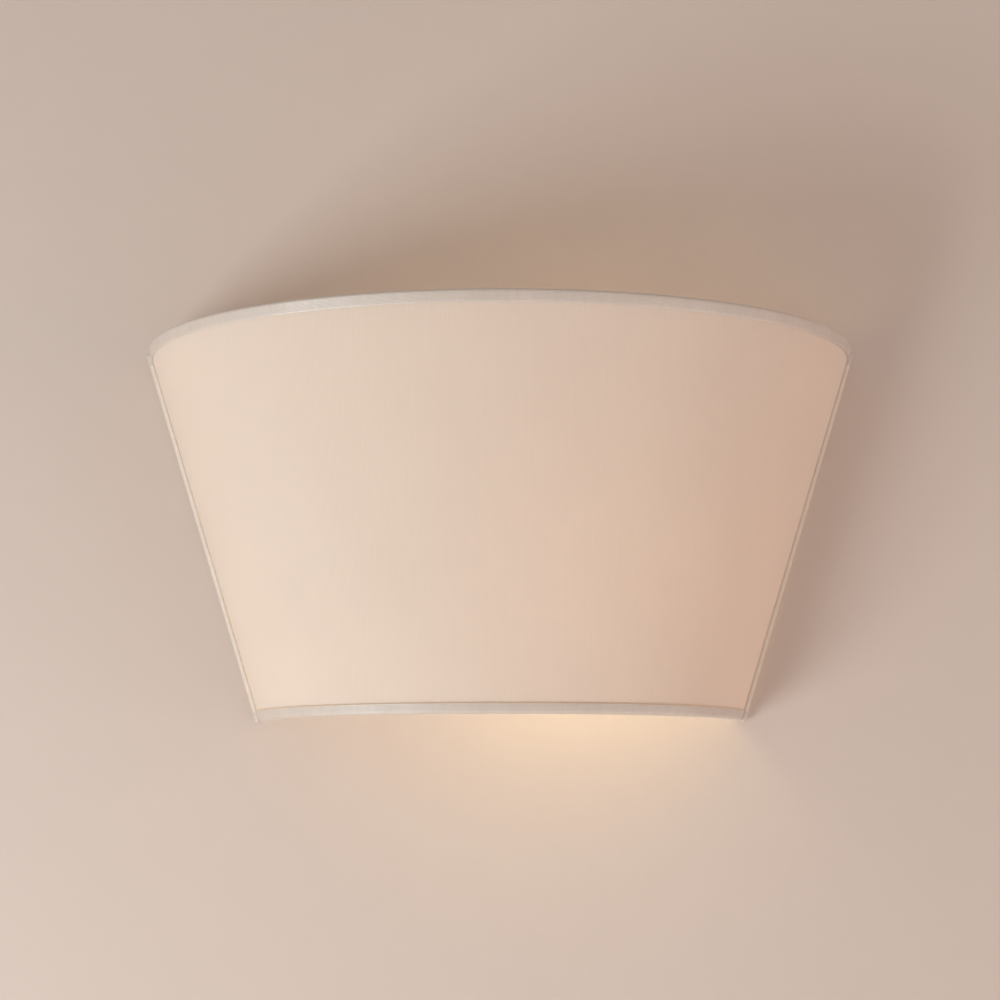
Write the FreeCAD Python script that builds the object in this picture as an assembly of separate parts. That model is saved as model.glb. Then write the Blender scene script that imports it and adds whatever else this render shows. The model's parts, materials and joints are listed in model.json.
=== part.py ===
"""Fabric shade wall light, half-round, one lamp. Millimetres.

Frame: the origin is the centre of the mounting bar's back face, on the wall. +Y goes into the
wall, the front of the shade faces -Y, +X is to the right and +Z is up.
"""
import FreeCAD
import Part
import math
import os

Vector = FreeCAD.Vector

# ---------------------------------------------------------------- driving dimensions, in mm
# shade skin, measured over the fabric; projections are measured from the wall
shade_top_width = 345.0
shade_bottom_width = 231.0
shade_top_projection = 130.0
shade_bottom_projection = 88.0
shade_height = 180.0
shade_drop = 80.0                 # from the lamp's axis down to the bottom rim
shade_wall_gap = 1.5
fabric_thickness = 0.5
lining_thickness = 0.6

# shade frame
ring_wire_diameter = 3.0
side_wire_diameter = 3.0
cross_wire_diameter = 3.0
side_wire_stand_out = 0.6         # centre of a side wire outside the fabric's face

# bindings
trim_thickness = 0.6
top_trim_height = 7.0
bottom_trim_height = 5.5
inner_trim_height = 5.0
edge_tape_thickness = 0.5
edge_tape_leg = 6.0

# wall fitting
bar_length = 140.0
bar_height = 18.0
bar_thickness = 2.0
wall_slot_spacing = 60.0
wall_slot_width = 4.6
wall_slot_length = 12.0
cover_width = 144.0
cover_height = 88.0
cover_depth = 14.0
cover_sheet = 1.2
cover_corner_radius = 10.0
cover_edge_radius = 2.5
cover_screw_spacing = 120.0
lug_spacing = 90.0
lug_width = 10.0
lug_height = 6.5
m4_diameter = 4.0
m3_diameter = 3.0

# lampholder and its bracket
lamp_axis_out = 42.0              # from the wall to the lamp's axis
holder_body_radius = 20.0
holder_wall = 1.8
holder_body_length = 32.0
holder_cap_length = 16.0
holder_back_radius = 9.0
insulator_thickness = 6.5
holder_terminal_offset = 5.0
shell_inner_radius = 13.5
shell_sheet = 0.4
nipple_radius = 5.0
nipple_bore_radius = 3.5
nipple_length = 14.0
nipple_engagement = 6.0
locknut_across_flats = 14.0
locknut_thickness = 3.5
bracket_sheet = 2.0
bracket_fold = 1.0
bracket_width = 28.0
bracket_foot = 20.0
bracket_screw_spacing = 16.0

# lamp, a 45 mm round bulb on an E27 cap
bulb_centre_x = 34.0
bulb_radius = 22.5
bulb_length = 75.0
bulb_glass_wall = 0.8
bulb_neck_radius = 12.2
bulb_neck_bend = 3.0
bulb_flare_angle = 132.0
bulb_cap_length = 27.0
bulb_cap_radius = 13.1
bulb_cap_sheet = 0.5
bulb_contact_radius = 4.8
filament_spread = 10.0
filament_coil_radius = 0.7
filament_lead_diameter = 0.7

# wiring
terminal_pitch = 10.0
terminal_count = 3
terminal_width = 14.0
terminal_height = 10.5
terminal_z = 27.0
terminal_web = 5.0
insulated_wire_diameter = 2.2
wire_pitch = 2.7
wire_run_y = -5.0                 # the wires' run inside the pan
grommet_x = -61.0
grommet_z = 15.0
grommet_hole_radius = 5.0
earth_x = 36.0
earth_z = 13.0

# clearances
layer_gap = 0.05                  # between pieces of one body that lie on each other
running_gap = 0.3                 # between the shade, the bulb and the wall fitting
screw_gap = 0.05                  # between a screw's shank and its thread hole
hole_gap = 0.25                   # between a screw's shank and a clearance hole

# ---------------------------------------------------------------- derived places
shade_bottom_z = -shade_drop
shade_top_z = shade_bottom_z + shade_height
skin_thickness = fabric_thickness + layer_gap + lining_thickness
side_roll_radius = side_wire_diameter / 2 + layer_gap + edge_tape_thickness
side_wire_y = -(shade_wall_gap + side_roll_radius)
skin_end_y = side_wire_y - side_roll_radius - layer_gap
shade_lean = math.atan((shade_top_width - shade_bottom_width) / 2 / shade_height)
ring_inset = skin_thickness + (layer_gap + ring_wire_diameter / 2) / math.cos(shade_lean)
top_ring_z = shade_top_z - ring_wire_diameter / 2
bottom_ring_z = shade_bottom_z + ring_wire_diameter / 2
carrier_z = cover_height / 2 + running_gap + cross_wire_diameter / 2

lamp_y = -lamp_axis_out
bulb_contact_x = bulb_centre_x + bulb_radius - bulb_length
cap_rim_x = bulb_contact_x + bulb_cap_length
holder_rim_x = cap_rim_x - 1.0
holder_joint_x = holder_rim_x - holder_body_length
holder_back_x = holder_joint_x - holder_cap_length
bracket_x = holder_back_x - layer_gap - bracket_sheet
locknut_x = bracket_x - layer_gap - locknut_thickness
nipple_front_x = holder_back_x + nipple_engagement
nipple_back_x = nipple_front_x - nipple_length
insulator_back_x = holder_joint_x - 3.0
insulator_front_x = insulator_back_x + insulator_thickness
cover_face_y = -cover_depth
cover_inside_y = cover_face_y + cover_sheet + layer_gap
bracket_screw_x = bracket_x + bracket_sheet + bracket_foot * 0.6
terminal_barrel_radius = terminal_pitch * 0.41
terminal_insert_radius = terminal_pitch * 0.29
terminal_screw_radius = terminal_pitch * 0.16
terminal_axis_y = cover_inside_y + terminal_barrel_radius
earth_tag_wire_y = cover_inside_y + layer_gap + 1.6
x_axis = Vector(1, 0, 0)
y_axis = Vector(0, 1, 0)
z_axis = Vector(0, 0, 1)


# ---------------------------------------------------------------- helpers
def cylinder(radius, start, end):
    """A round bar from one point to another."""
    run = end - start
    return Part.makeCylinder(radius, run.Length, start, run)


def tube(outer_radius, inner_radius, start, end):
    """A round tube from one point to another."""
    return cylinder(outer_radius, start, end).cut(cylinder(inner_radius, start, end))


def box(x_span, y_span, z_span):
    """A box from three (low, high) spans."""
    size = [span[1] - span[0] for span in (x_span, y_span, z_span)]
    return Part.makeBox(*size, Vector(x_span[0], y_span[0], z_span[0]))


def rounded_path(points, radii):
    """Edges of straight runs through the points, with a tangent arc of each inner point's radius."""
    edges = []
    start = points[0]
    for corner, radius, after in zip(points[1:-1], radii, points[2:]):
        back = (start - corner).normalize()
        ahead = (after - corner).normalize()
        half_turn = (math.pi - back.getAngle(ahead)) / 2
        reach = radius * math.tan(half_turn)
        middle = (back + ahead).normalize()
        to_arc = radius / math.cos(half_turn) - radius
        arc_start = corner + back * reach
        arc_end = corner + ahead * reach
        edges.append(Part.makeLine(start, arc_start))
        edges.append(Part.Arc(arc_start, corner + middle * to_arc, arc_end).toShape())
        start = arc_end
    edges.append(Part.makeLine(start, points[-1]))
    return edges


def wire_tube(points, radii, diameter):
    """A round wire along a route, with one bend radius for each inner point."""
    path = Part.Wire(rounded_path(points, radii))
    section = Part.Wire(Part.makeCircle(diameter / 2, points[0], points[1] - points[0]))
    return path.makePipeShell([section], True, True)


def turned(edges, axis_y=0.0, axis_z=0.0):
    """A solid turned about an axis along X. The profile's edges hold x and radius as X and Y."""
    face = Part.Face(Part.Wire(edges))
    solid = face.revolve(Vector(0, 0, 0), x_axis, 360)
    solid.translate(Vector(0, axis_y, axis_z))
    return solid


def turned_polygon(points, axis_y=0.0, axis_z=0.0):
    """The same, from (x, radius) corners."""
    corners = [Vector(x, radius, 0) for x, radius in points]
    return turned(Part.makePolygon(corners + corners[:1]).Edges, axis_y, axis_z)


def pan_head_screw(diameter, head_y, tip_y, x, z):
    """A slotted pan-head screw along Y, its head's underside at head_y, facing the front."""
    head_radius = diameter * 0.95
    head_height = diameter * 0.55
    underside = Vector(x, head_y, z)
    head = cylinder(head_radius, underside, underside - y_axis * head_height)
    rim = [edge for edge in head.Edges if abs(edge.BoundBox.YMin - head.BoundBox.YMin) < 1e-6]
    head = head.makeFillet(head_height * 0.4, rim[:1])
    half_slot = diameter * 0.09
    head = head.cut(box((x - head_radius, x + head_radius),
                        (head_y - head_height - 1, head_y - head_height * 0.5),
                        (z - half_slot, z + half_slot)))
    return head.fuse(cylinder(diameter / 2, underside, Vector(x, tip_y, z)))


def hex_nut(across_flats, thickness, bore_radius, start, direction):
    """A hexagon nut."""
    corner_radius = across_flats / math.sqrt(3)
    corners = [Vector(corner_radius * math.cos(math.radians(60 * i)),
                      corner_radius * math.sin(math.radians(60 * i)), 0) for i in range(7)]
    nut = Part.Face(Part.makePolygon(corners)).extrude(Vector(0, 0, thickness))
    nut = nut.cut(Part.makeCylinder(bore_radius, thickness))
    nut.Placement = FreeCAD.Placement(start, FreeCAD.Rotation(z_axis, direction))
    return nut


def largest_solid(shape):
    """A shape's main solid, without the slivers that a cut leaves."""
    return max(shape.Solids, key=lambda solid: solid.Volume)


def save(name, shape):
    shape.exportStep("parts/" + name + ".step")


# ---------------------------------------------------------------- the shade's form
def plan_axes(z):
    """Half width and depth of the fabric's half-ellipse at a height."""
    share = (z - shade_bottom_z) / shade_height
    half_width = (shade_bottom_width + share * (shade_top_width - shade_bottom_width)) / 2
    projection = shade_bottom_projection + share * (shade_top_projection - shade_bottom_projection)
    return half_width, projection - shade_wall_gap


def rim_arc(z, inset, end_y=-shade_wall_gap):
    """The half-ellipse at a height, inset from the fabric's face, ending at end_y on both sides."""
    half_width, depth = plan_axes(z)
    ellipse = Part.Ellipse(Vector(0, -shade_wall_gap, z), half_width - inset, depth - inset)
    end_angle = math.asin(max(0.0, (-shade_wall_gap - end_y) / (depth - inset)))
    return Part.ArcOfEllipse(ellipse, math.pi + end_angle, 2 * math.pi - end_angle).toShape()


def plan_outline(z, outer_inset, inner_inset, end_y):
    """Closed outline between two insets at a height."""
    outer = rim_arc(z, outer_inset, end_y)
    inner = rim_arc(z, inner_inset, end_y)
    left = Part.makeLine(outer.valueAt(outer.FirstParameter), inner.valueAt(inner.FirstParameter))
    right = Part.makeLine(outer.valueAt(outer.LastParameter), inner.valueAt(inner.LastParameter))
    return Part.Wire([outer, right, inner, left])


def band(low_z, high_z, outer_inset, inner_inset, end_y=-shade_wall_gap):
    """A tapered band that follows the shade between two heights and two insets."""
    outlines = [plan_outline(z, outer_inset, inner_inset, end_y) for z in (low_z, high_z)]
    return Part.makeLoft(outlines, True, True)


def span_band(start_z, end_z, outer_inset, inner_inset, end_y):
    """The same, with its two heights in either order."""
    return band(min(start_z, end_z), max(start_z, end_z), outer_inset, inner_inset, end_y)


def side_point(side, z, stand_out=side_wire_stand_out):
    """A point on the centre line of a side wire; side is -1 for left and 1 for right."""
    half_width = plan_axes(z)[0]
    return Vector(side * (half_width + stand_out), side_wire_y, z)


def side_bar(side, radius, low_z, high_z):
    """A round bar on a side wire's line, cut level at both ends."""
    run = side_point(side, high_z) - side_point(side, low_z)
    spare = run * (radius / run.z)
    bar = cylinder(radius, side_point(side, low_z) - spare, side_point(side, high_z) + spare)
    reach = shade_top_width
    return bar.common(box((-reach, reach), (-reach, reach), (low_z, high_z)))


# ---------------------------------------------------------------- shade pieces
def shade_fabric():
    return band(shade_bottom_z, shade_top_z, 0, fabric_thickness, skin_end_y)


def shade_lining():
    face = fabric_thickness + layer_gap
    return band(shade_bottom_z, shade_top_z, face, skin_thickness, skin_end_y)


def ring_wire(z):
    """A rim wire, bent to the half-ellipse just inside the lining."""
    path = Part.Wire([rim_arc(z, ring_inset)])
    start = path.Edges[0].valueAt(path.Edges[0].FirstParameter)
    direction = path.Edges[0].tangentAt(path.Edges[0].FirstParameter)
    section = Part.Wire(Part.makeCircle(ring_wire_diameter / 2, start, direction))
    return path.makePipeShell([section], True, True)


def cross_wire(z, half_length):
    """A straight wire across the back of the shade."""
    start = Vector(-half_length, side_wire_y, z)
    return cylinder(cross_wire_diameter / 2, start, Vector(half_length, side_wire_y, z))


def side_wire(side):
    return side_bar(side, side_wire_diameter / 2, shade_bottom_z, shade_top_z)


def rim_trim(edge_z, height, inner_height, up, ring):
    """Bias tape folded over a rim: outer leg, turned edge, inner leg and a closed corner at each end.

    up is 1 for the top rim and -1 for the bottom rim.
    """
    channel_outer = -layer_gap
    channel_inner = ring_inset + ring_wire_diameter / 2 + layer_gap
    rest_z = edge_z + up * layer_gap
    crest_z = rest_z + up * trim_thickness
    outer_end_z = edge_z - up * height
    inner_end_z = edge_z - up * inner_height
    tape = span_band(outer_end_z, crest_z, channel_outer - trim_thickness, channel_inner + trim_thickness,
                     skin_end_y)
    crest_edges = [edge for edge in tape.Edges
                   if abs(edge.valueAt(edge.FirstParameter).z - crest_z) < 1e-6
                   and edge.Curve.TypeId != "Part::GeomLine"
                   and abs(edge.valueAt(edge.LastParameter).z - crest_z) < 1e-6]
    tape = tape.makeFillet(2 * trim_thickness, crest_edges)
    spare = 2 * trim_thickness
    tape = tape.cut(span_band(outer_end_z - up * spare, rest_z, channel_outer, channel_inner,
                              -shade_wall_gap))
    if abs(inner_end_z - outer_end_z) > layer_gap:
        tape = tape.cut(span_band(outer_end_z - up * spare, inner_end_z, channel_inner - spare,
                                  channel_inner + 2 * spare, -shade_wall_gap))
    skin_room = span_band(outer_end_z - up * spare, rest_z, channel_outer, skin_thickness + layer_gap,
                          skin_end_y + layer_gap)
    for side in (-1, 1):
        low_z, high_z = sorted((outer_end_z, crest_z))
        sleeve = side_bar(side, side_roll_radius + trim_thickness, low_z, high_z)
        low_z, high_z = sorted((outer_end_z - up, rest_z))
        wire_room = side_bar(side, side_wire_diameter / 2 + layer_gap, low_z, high_z)
        tape = tape.fuse(sleeve.cut(wire_room).cut(skin_room)).cut(wire_room)
    tape = tape.cut(ring)
    return largest_solid(tape)


def top_trim(ring):
    return rim_trim(shade_top_z, top_trim_height, inner_trim_height, 1, ring)


def bottom_trim(ring):
    return rim_trim(shade_bottom_z, bottom_trim_height, bottom_trim_height, -1, ring)


def side_trim(side):
    """Edge tape rolled round a side wire, with a leg glued to the lining."""
    low_z = shade_bottom_z + bottom_trim_height + layer_gap
    high_z = shade_top_z - top_trim_height - layer_gap
    roll = side_bar(side, side_roll_radius, low_z, high_z)
    leg_inset = skin_thickness + layer_gap
    leg = band(low_z, high_z, leg_inset, leg_inset + edge_tape_thickness, side_wire_y)
    leg_front_y = skin_end_y - edge_tape_leg
    reach = shade_top_width
    leg = leg.common(box(sorted((0, side * reach)), (leg_front_y, 0), (-reach, reach)))
    tape = roll.fuse(leg)
    tape = tape.cut(side_bar(side, side_wire_diameter / 2 + layer_gap, low_z, high_z))
    carrier = cylinder(cross_wire_diameter / 2 + layer_gap,
                       Vector(-reach, side_wire_y, carrier_z), Vector(reach, side_wire_y, carrier_z))
    carrier_end = side_point(side, carrier_z).x
    opening = box(sorted((0, carrier_end)), (-reach, 0), (-reach, reach))
    return tape.cut(carrier.common(opening)).removeSplitter()


# ---------------------------------------------------------------- wall fitting
def slot_hole(x, z, width, length, y_span):
    half_run = (length - width) / 2
    hole = box((x - half_run, x + half_run), y_span, (z - width / 2, z + width / 2))
    for end_x in (x - half_run, x + half_run):
        hole = hole.fuse(cylinder(width / 2, Vector(end_x, y_span[0], z), Vector(end_x, y_span[1], z)))
    return hole


def mounting_bar():
    bar = box((-bar_length / 2, bar_length / 2), (-bar_thickness, 0), (-bar_height / 2, bar_height / 2))
    upright = [edge for edge in bar.Edges if abs(edge.tangentAt(edge.FirstParameter).y) > 0.9]
    bar = bar.makeFillet(3.0, upright)
    through = (-bar_thickness - 1, 1)
    for side in (-1, 1):
        bar = bar.cut(slot_hole(side * wall_slot_spacing / 2, 0, wall_slot_width, wall_slot_length, through))
        screw_x = side * cover_screw_spacing / 2
        bar = bar.cut(cylinder(m4_diameter / 2 + screw_gap,
                               Vector(screw_x, through[0], 0), Vector(screw_x, through[1], 0)))
    return bar


def pan(width, height, depth, corner_radius, edge_radius):
    """A solid pan form standing on the wall, with rounded corners and a rounded front edge."""
    body = box((-width / 2, width / 2), (-depth, 0), (-height / 2, height / 2))
    upright = [edge for edge in body.Edges if abs(edge.tangentAt(edge.FirstParameter).y) > 0.9]
    body = body.makeFillet(corner_radius, upright)
    front = [edge for edge in body.Edges if edge.BoundBox.YMax < -depth + 1e-6]
    return body.makeFillet(edge_radius, front)


def back_cover():
    outer = pan(cover_width, cover_height, cover_depth, cover_corner_radius, cover_edge_radius)
    inner = pan(cover_width - 2 * cover_sheet, cover_height - 2 * cover_sheet, cover_depth - cover_sheet,
                cover_corner_radius - cover_sheet, cover_edge_radius - cover_sheet)
    cover = outer.cut(inner)
    through = (cover_face_y - 1, cover_face_y + cover_sheet + 1)

    def hole(radius, x, z):
        return cylinder(radius, Vector(x, through[0], z), Vector(x, through[1], z))

    for side in (-1, 1):
        cover = cover.cut(hole(m4_diameter / 2 + hole_gap, side * cover_screw_spacing / 2, 0))
        cover = cover.cut(hole(m3_diameter / 2 + hole_gap, bracket_screw_x,
                               side * bracket_screw_spacing / 2))
    cover = cover.cut(hole(grommet_hole_radius, grommet_x, grommet_z))
    cover = cover.cut(hole(m4_diameter / 2 + hole_gap, earth_x, earth_z))
    cover = cover.cut(hole(m3_diameter / 2 + hole_gap, terminal_pitch / 2, terminal_z))
    lug_back_y = side_wire_y - cross_wire_diameter / 2 - running_gap
    lug_front_y = lug_back_y - cover_sheet
    top_z = cover_height / 2
    for side in (-1, 1):
        x_span = (side * lug_spacing / 2 - lug_width / 2, side * lug_spacing / 2 + lug_width / 2)
        window_front_y = max(lug_front_y - lug_height, cover_face_y + cover_edge_radius)
        window = box(x_span, (window_front_y, lug_front_y), (top_z - cover_sheet - 1, top_z + 1))
        lug = box(x_span, (lug_front_y, lug_back_y), (top_z - cover_sheet / 2, top_z + lug_height))
        tip = [edge for edge in lug.Edges
               if edge.BoundBox.ZMin > top_z + lug_height - 1e-6 and edge.BoundBox.YLength > cover_sheet / 2]
        cover = cover.cut(window).fuse(lug.makeFillet(lug_width / 4, tip))
    return cover.removeSplitter()


def cover_screws():
    head_y = cover_face_y - layer_gap
    places = (-cover_screw_spacing / 2, cover_screw_spacing / 2)
    return Part.makeCompound([pan_head_screw(m4_diameter, head_y, -layer_gap, x, 0) for x in places])


def fold_edges(shape, x, y):
    """The straight edges along Z at a place."""
    return [edge for edge in shape.Edges
            if all(abs(vertex.X - x) < 1e-6 and abs(vertex.Y - y) < 1e-6 for vertex in edge.Vertexes)]


def holder_bracket():
    """Folded angle: an upright plate behind the lampholder and a foot on the pan's face."""
    foot_y = cover_face_y - layer_gap
    far_y = lamp_y - nipple_radius - 8.0
    half_width = bracket_width / 2
    upright = box((bracket_x, bracket_x + bracket_sheet), (far_y, foot_y), (-half_width, half_width))
    round_end = [edge for edge in upright.Edges
                 if edge.BoundBox.YMax < far_y + 1e-6 and edge.BoundBox.XLength > bracket_sheet / 2]
    upright = upright.makeFillet(half_width * 0.7, round_end)
    foot = box((bracket_x, bracket_x + bracket_sheet + bracket_foot),
               (foot_y - bracket_sheet, foot_y), (-half_width, half_width))
    bracket = upright.fuse(foot).removeSplitter()
    bracket = bracket.makeFillet(bracket_fold, fold_edges(bracket, bracket_x + bracket_sheet,
                                                          foot_y - bracket_sheet))
    bracket = bracket.makeFillet(bracket_fold + bracket_sheet, fold_edges(bracket, bracket_x, foot_y))
    bracket = bracket.cut(cylinder(nipple_radius + hole_gap, Vector(bracket_x - 1, lamp_y, 0),
                                   Vector(bracket_x + bracket_sheet + 1, lamp_y, 0)))
    for side in (-1, 1):
        z = side * bracket_screw_spacing / 2
        bracket = bracket.cut(cylinder(m3_diameter / 2 + hole_gap, Vector(bracket_screw_x, foot_y + 1, z),
                                       Vector(bracket_screw_x, foot_y - bracket_sheet - 1, z)))
    return bracket


def bracket_screws():
    """Two screws through the foot and the pan, each with its nut inside the pan."""
    pieces = []
    head_y = cover_face_y - 2 * layer_gap - bracket_sheet
    nut_y = cover_face_y + cover_sheet + layer_gap
    for side in (-1, 1):
        z = side * bracket_screw_spacing / 2
        pieces.append(pan_head_screw(m3_diameter, head_y, nut_y + 3.5, bracket_screw_x, z))
        pieces.append(hex_nut(5.5, 2.4, m3_diameter / 2 + screw_gap,
                              Vector(bracket_screw_x, nut_y, z), y_axis))
    return Part.makeCompound(pieces)


def holder_cap():
    """Rear half of the lampholder: a domed cap with the nipple's socket."""
    outer = holder_body_radius
    wall = holder_wall
    back = holder_back_x
    socket_depth = nipple_engagement + 0.5
    joint = holder_joint_x - layer_gap
    rim = Vector(joint, outer, 0)
    shoulder = Vector(back + 6.0, outer, 0)
    collar = Vector(back, holder_back_radius, 0)
    foot = Vector(back + 2.0, holder_back_radius + 2.0, 0)
    outer_edges = rounded_path([rim, shoulder, foot, collar], [5.0, 1.5])
    inner_rim = Vector(joint, outer - wall, 0)
    inner_shoulder = Vector(back + 6.0 + wall * 0.6, outer - wall, 0)
    floor = Vector(back + 2.0 + wall, holder_back_radius + 0.5, 0)
    socket = Vector(back + socket_depth, holder_back_radius - 1.0, 0)
    inner_edges = rounded_path([inner_rim, inner_shoulder, floor, socket], [3.5, 1.0])
    bore = nipple_radius + layer_gap
    edges = outer_edges
    edges.append(Part.makeLine(collar, Vector(back, bore, 0)))
    edges.append(Part.makeLine(Vector(back, bore, 0), Vector(back + socket_depth, bore, 0)))
    edges.append(Part.makeLine(Vector(back + socket_depth, bore, 0), socket))
    edges += inner_edges
    edges.append(Part.makeLine(inner_rim, rim))
    return turned(Part.__sortEdges__(edges), lamp_y)


def holder_body():
    """Front half of the lampholder: a skirt with a grip band of flutes and a rolled mouth."""
    outer = holder_body_radius
    joint = holder_joint_x
    rim = holder_rim_x
    mouth_radius = shell_inner_radius + shell_sheet + layer_gap + 0.6
    body = turned_polygon([(joint, outer - holder_wall), (joint, outer), (rim - 6.0, outer),
                           (rim - 4.5, outer - 1.2), (rim - 1.0, outer - 1.2), (rim, outer - 2.2),
                           (rim, mouth_radius), (rim - 2.5, mouth_radius),
                           (rim - 4.5, outer - holder_wall - 1.5), (rim - 8.0, outer - holder_wall)], lamp_y)
    flute_count = 28
    for i in range(flute_count):
        angle = 2 * math.pi * i / flute_count
        y = lamp_y + (outer + 0.5) * math.cos(angle)
        z = (outer + 0.5) * math.sin(angle)
        body = body.cut(cylinder(1.0, Vector(joint + 3.0, y, z), Vector(joint + 15.0, y, z)))
    return body


def holder_insulator():
    """Ceramic disc that carries the shell, the contact and two wire terminals."""
    radius = holder_body_radius - holder_wall - layer_gap
    disc = cylinder(radius, Vector(insulator_back_x, lamp_y, 0), Vector(insulator_front_x, lamp_y, 0))
    front = [edge for edge in disc.Edges if edge.BoundBox.XMin > insulator_front_x - 1e-6]
    disc = disc.makeFillet(0.8, front[:1])
    for side in (-1, 1):
        z = side * holder_terminal_offset
        disc = disc.cut(cylinder(insulated_wire_diameter / 2 + hole_gap,
                                 Vector(insulator_back_x - 1, lamp_y, z),
                                 Vector(insulator_back_x + 4.5, lamp_y, z)))
    return disc


def holder_shell():
    """Threaded contact shell, shown as rolled beads, on the insulator's front."""
    back = insulator_front_x + layer_gap
    rim = holder_rim_x - 1.5
    inner = shell_inner_radius
    outer = inner + shell_sheet
    profile = [(back, inner - 4.0), (back, outer)]
    bead_count = 3
    pitch = (rim - back - 6.0) / bead_count
    for i in range(bead_count):
        start = back + 3.0 + i * pitch
        profile += [(start, outer), (start + pitch * 0.3, outer + 0.5),
                    (start + pitch * 0.5, outer + 0.5), (start + pitch * 0.8, outer)]
    profile += [(rim, outer), (rim, inner)]
    profile += [(back + shell_sheet, inner), (back + shell_sheet, inner - 4.0)]
    return turned_polygon(profile, lamp_y)


def holder_contact():
    """Sprung centre contact: a bent strip on the insulator that ends just off the bulb's contact."""
    sheet = 0.4
    back = insulator_front_x + layer_gap
    tip = bulb_contact_x - running_gap
    corners = [(back, 8.5), (back, 3.0), (tip - sheet, -1.5), (tip - sheet, -4.5),
               (tip, -4.5), (tip, -1.0), (back + sheet, 3.4), (back + sheet, 8.5)]
    outline = [Vector(x, lamp_y + y, -3.0) for x, y in corners]
    return Part.Face(Part.makePolygon(outline + outline[:1])).extrude(z_axis * 6.0)


def threaded_nipple():
    """Hollow threaded tube that clamps the lampholder to its bracket and lets the wires through."""
    return tube(nipple_radius, nipple_bore_radius, Vector(nipple_back_x, lamp_y, 0),
                Vector(nipple_front_x, lamp_y, 0))


def nipple_locknut():
    return hex_nut(locknut_across_flats, locknut_thickness, nipple_radius + screw_gap,
                   Vector(locknut_x, lamp_y, 0), x_axis)


# ---------------------------------------------------------------- lamp
def bulb_profile(radius, neck_radius, end_x):
    """Half outline of an A-shape bulb, from its neck's end to its tip, and the neck's first point."""
    angle = math.radians(bulb_flare_angle)
    centre = Vector(bulb_centre_x, 0, 0)
    tip = centre + Vector(radius, 0, 0)
    join = centre + Vector(radius * math.cos(angle), radius * math.sin(angle), 0)
    start = Vector(end_x, neck_radius, 0)
    edges = rounded_path([start, Vector(cap_rim_x + 1.5, neck_radius, 0), join], [bulb_neck_bend])
    crown = centre + Vector(radius * math.cos(angle / 2), radius * math.sin(angle / 2), 0)
    edges.append(Part.Arc(join, crown, tip).toShape())
    return edges, start, tip


def bulb_glass():
    end_x = cap_rim_x - 7.0
    outer, outer_start, outer_tip = bulb_profile(bulb_radius, bulb_neck_radius, end_x)
    inner, inner_start, inner_tip = bulb_profile(bulb_radius - bulb_glass_wall,
                                                 bulb_neck_radius - bulb_glass_wall, end_x)
    edges = outer + [Part.makeLine(outer_tip, inner_tip)] + inner + [Part.makeLine(inner_start, outer_start)]
    return turned(Part.__sortEdges__(edges), lamp_y)


def bulb_cap():
    """Screw shell, its thread shown as rolled ridges."""
    back = bulb_contact_x + 6.0
    rim = cap_rim_x
    crest = bulb_cap_radius
    root = crest - 0.8
    inner = root - bulb_cap_sheet
    ridge_count = 4
    pitch = 3.6
    profile = [(back, inner), (back, root)]
    for i in range(ridge_count):
        start = back + 0.8 + i * pitch
        profile += [(start, root), (start + pitch * 0.3, crest), (start + pitch * 0.5, crest),
                    (start + pitch * 0.8, root)]
    neck_outer = bulb_neck_radius + layer_gap + bulb_cap_sheet
    profile += [(rim - 3.0, root + 0.3), (rim, neck_outer + 0.2), (rim, neck_outer - bulb_cap_sheet + 0.1)]
    profile += [(rim - 7.5, neck_outer - bulb_cap_sheet), (rim - 8.5, inner)]
    return turned_polygon(profile, lamp_y)


def bulb_cap_insulator():
    start = bulb_contact_x + 1.2
    end = bulb_contact_x + 6.0 - layer_gap
    base = bulb_cap_radius - 0.8 - bulb_cap_sheet
    return turned_polygon([(start, 0), (start, bulb_contact_radius), (end - 1.0, base), (end + 3.0, base),
                           (end + 3.0, 0)], lamp_y).cut(
        cylinder(1.0, Vector(start, lamp_y, 0), Vector(end + 4, lamp_y, 0)))


def bulb_contact():
    """Solder contact at the cap's end."""
    start = bulb_contact_x
    end = start + 1.2 - layer_gap
    return turned_polygon([(start, 0), (start, 2.6), (start + 0.5, bulb_contact_radius - 0.4),
                           (end, bulb_contact_radius - 0.4), (end, 0)], lamp_y)


def bulb_stem():
    """Glass mount inside the bulb: a flared foot and a slim rod with a button."""
    foot = cap_rim_x - 6.5
    foot_radius = bulb_neck_radius - bulb_glass_wall - layer_gap
    return turned_polygon([(foot, 0), (foot, foot_radius), (foot + 1.5, foot_radius - 1.0), (foot + 5.0, 4.0),
                           (foot + 10.0, 2.6), (foot + 17.0, 1.6), (foot + 22.0, 1.2), (foot + 23.0, 1.9),
                           (foot + 24.5, 1.9), (foot + 25.5, 0)], lamp_y)


def bulb_filament():
    """Two lead wires from the stem and the coiled filament between them."""
    lead_start = cap_rim_x + 4.0
    tip = bulb_centre_x - 1.0
    start = Vector(tip, lamp_y, -filament_spread)
    coil_path = Part.Wire([Part.Arc(start, Vector(tip + 4.0, lamp_y, 0),
                                    Vector(tip, lamp_y, filament_spread)).toShape()])
    direction = coil_path.Edges[0].tangentAt(coil_path.Edges[0].FirstParameter)
    filament = coil_path.makePipeShell([Part.Wire(Part.makeCircle(filament_coil_radius, start, direction))],
                                       True, True)
    for side in (-1, 1):
        route = [Vector(lead_start, lamp_y, side * 3.2), Vector(lead_start + 5.0, lamp_y, side * 3.4),
                 Vector(tip, lamp_y, side * filament_spread)]
        filament = filament.fuse(wire_tube(route, [4.0], filament_lead_diameter))
    return filament


# ---------------------------------------------------------------- wiring
def pole_x(index):
    return (index - (terminal_count - 1) / 2) * terminal_pitch


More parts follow.
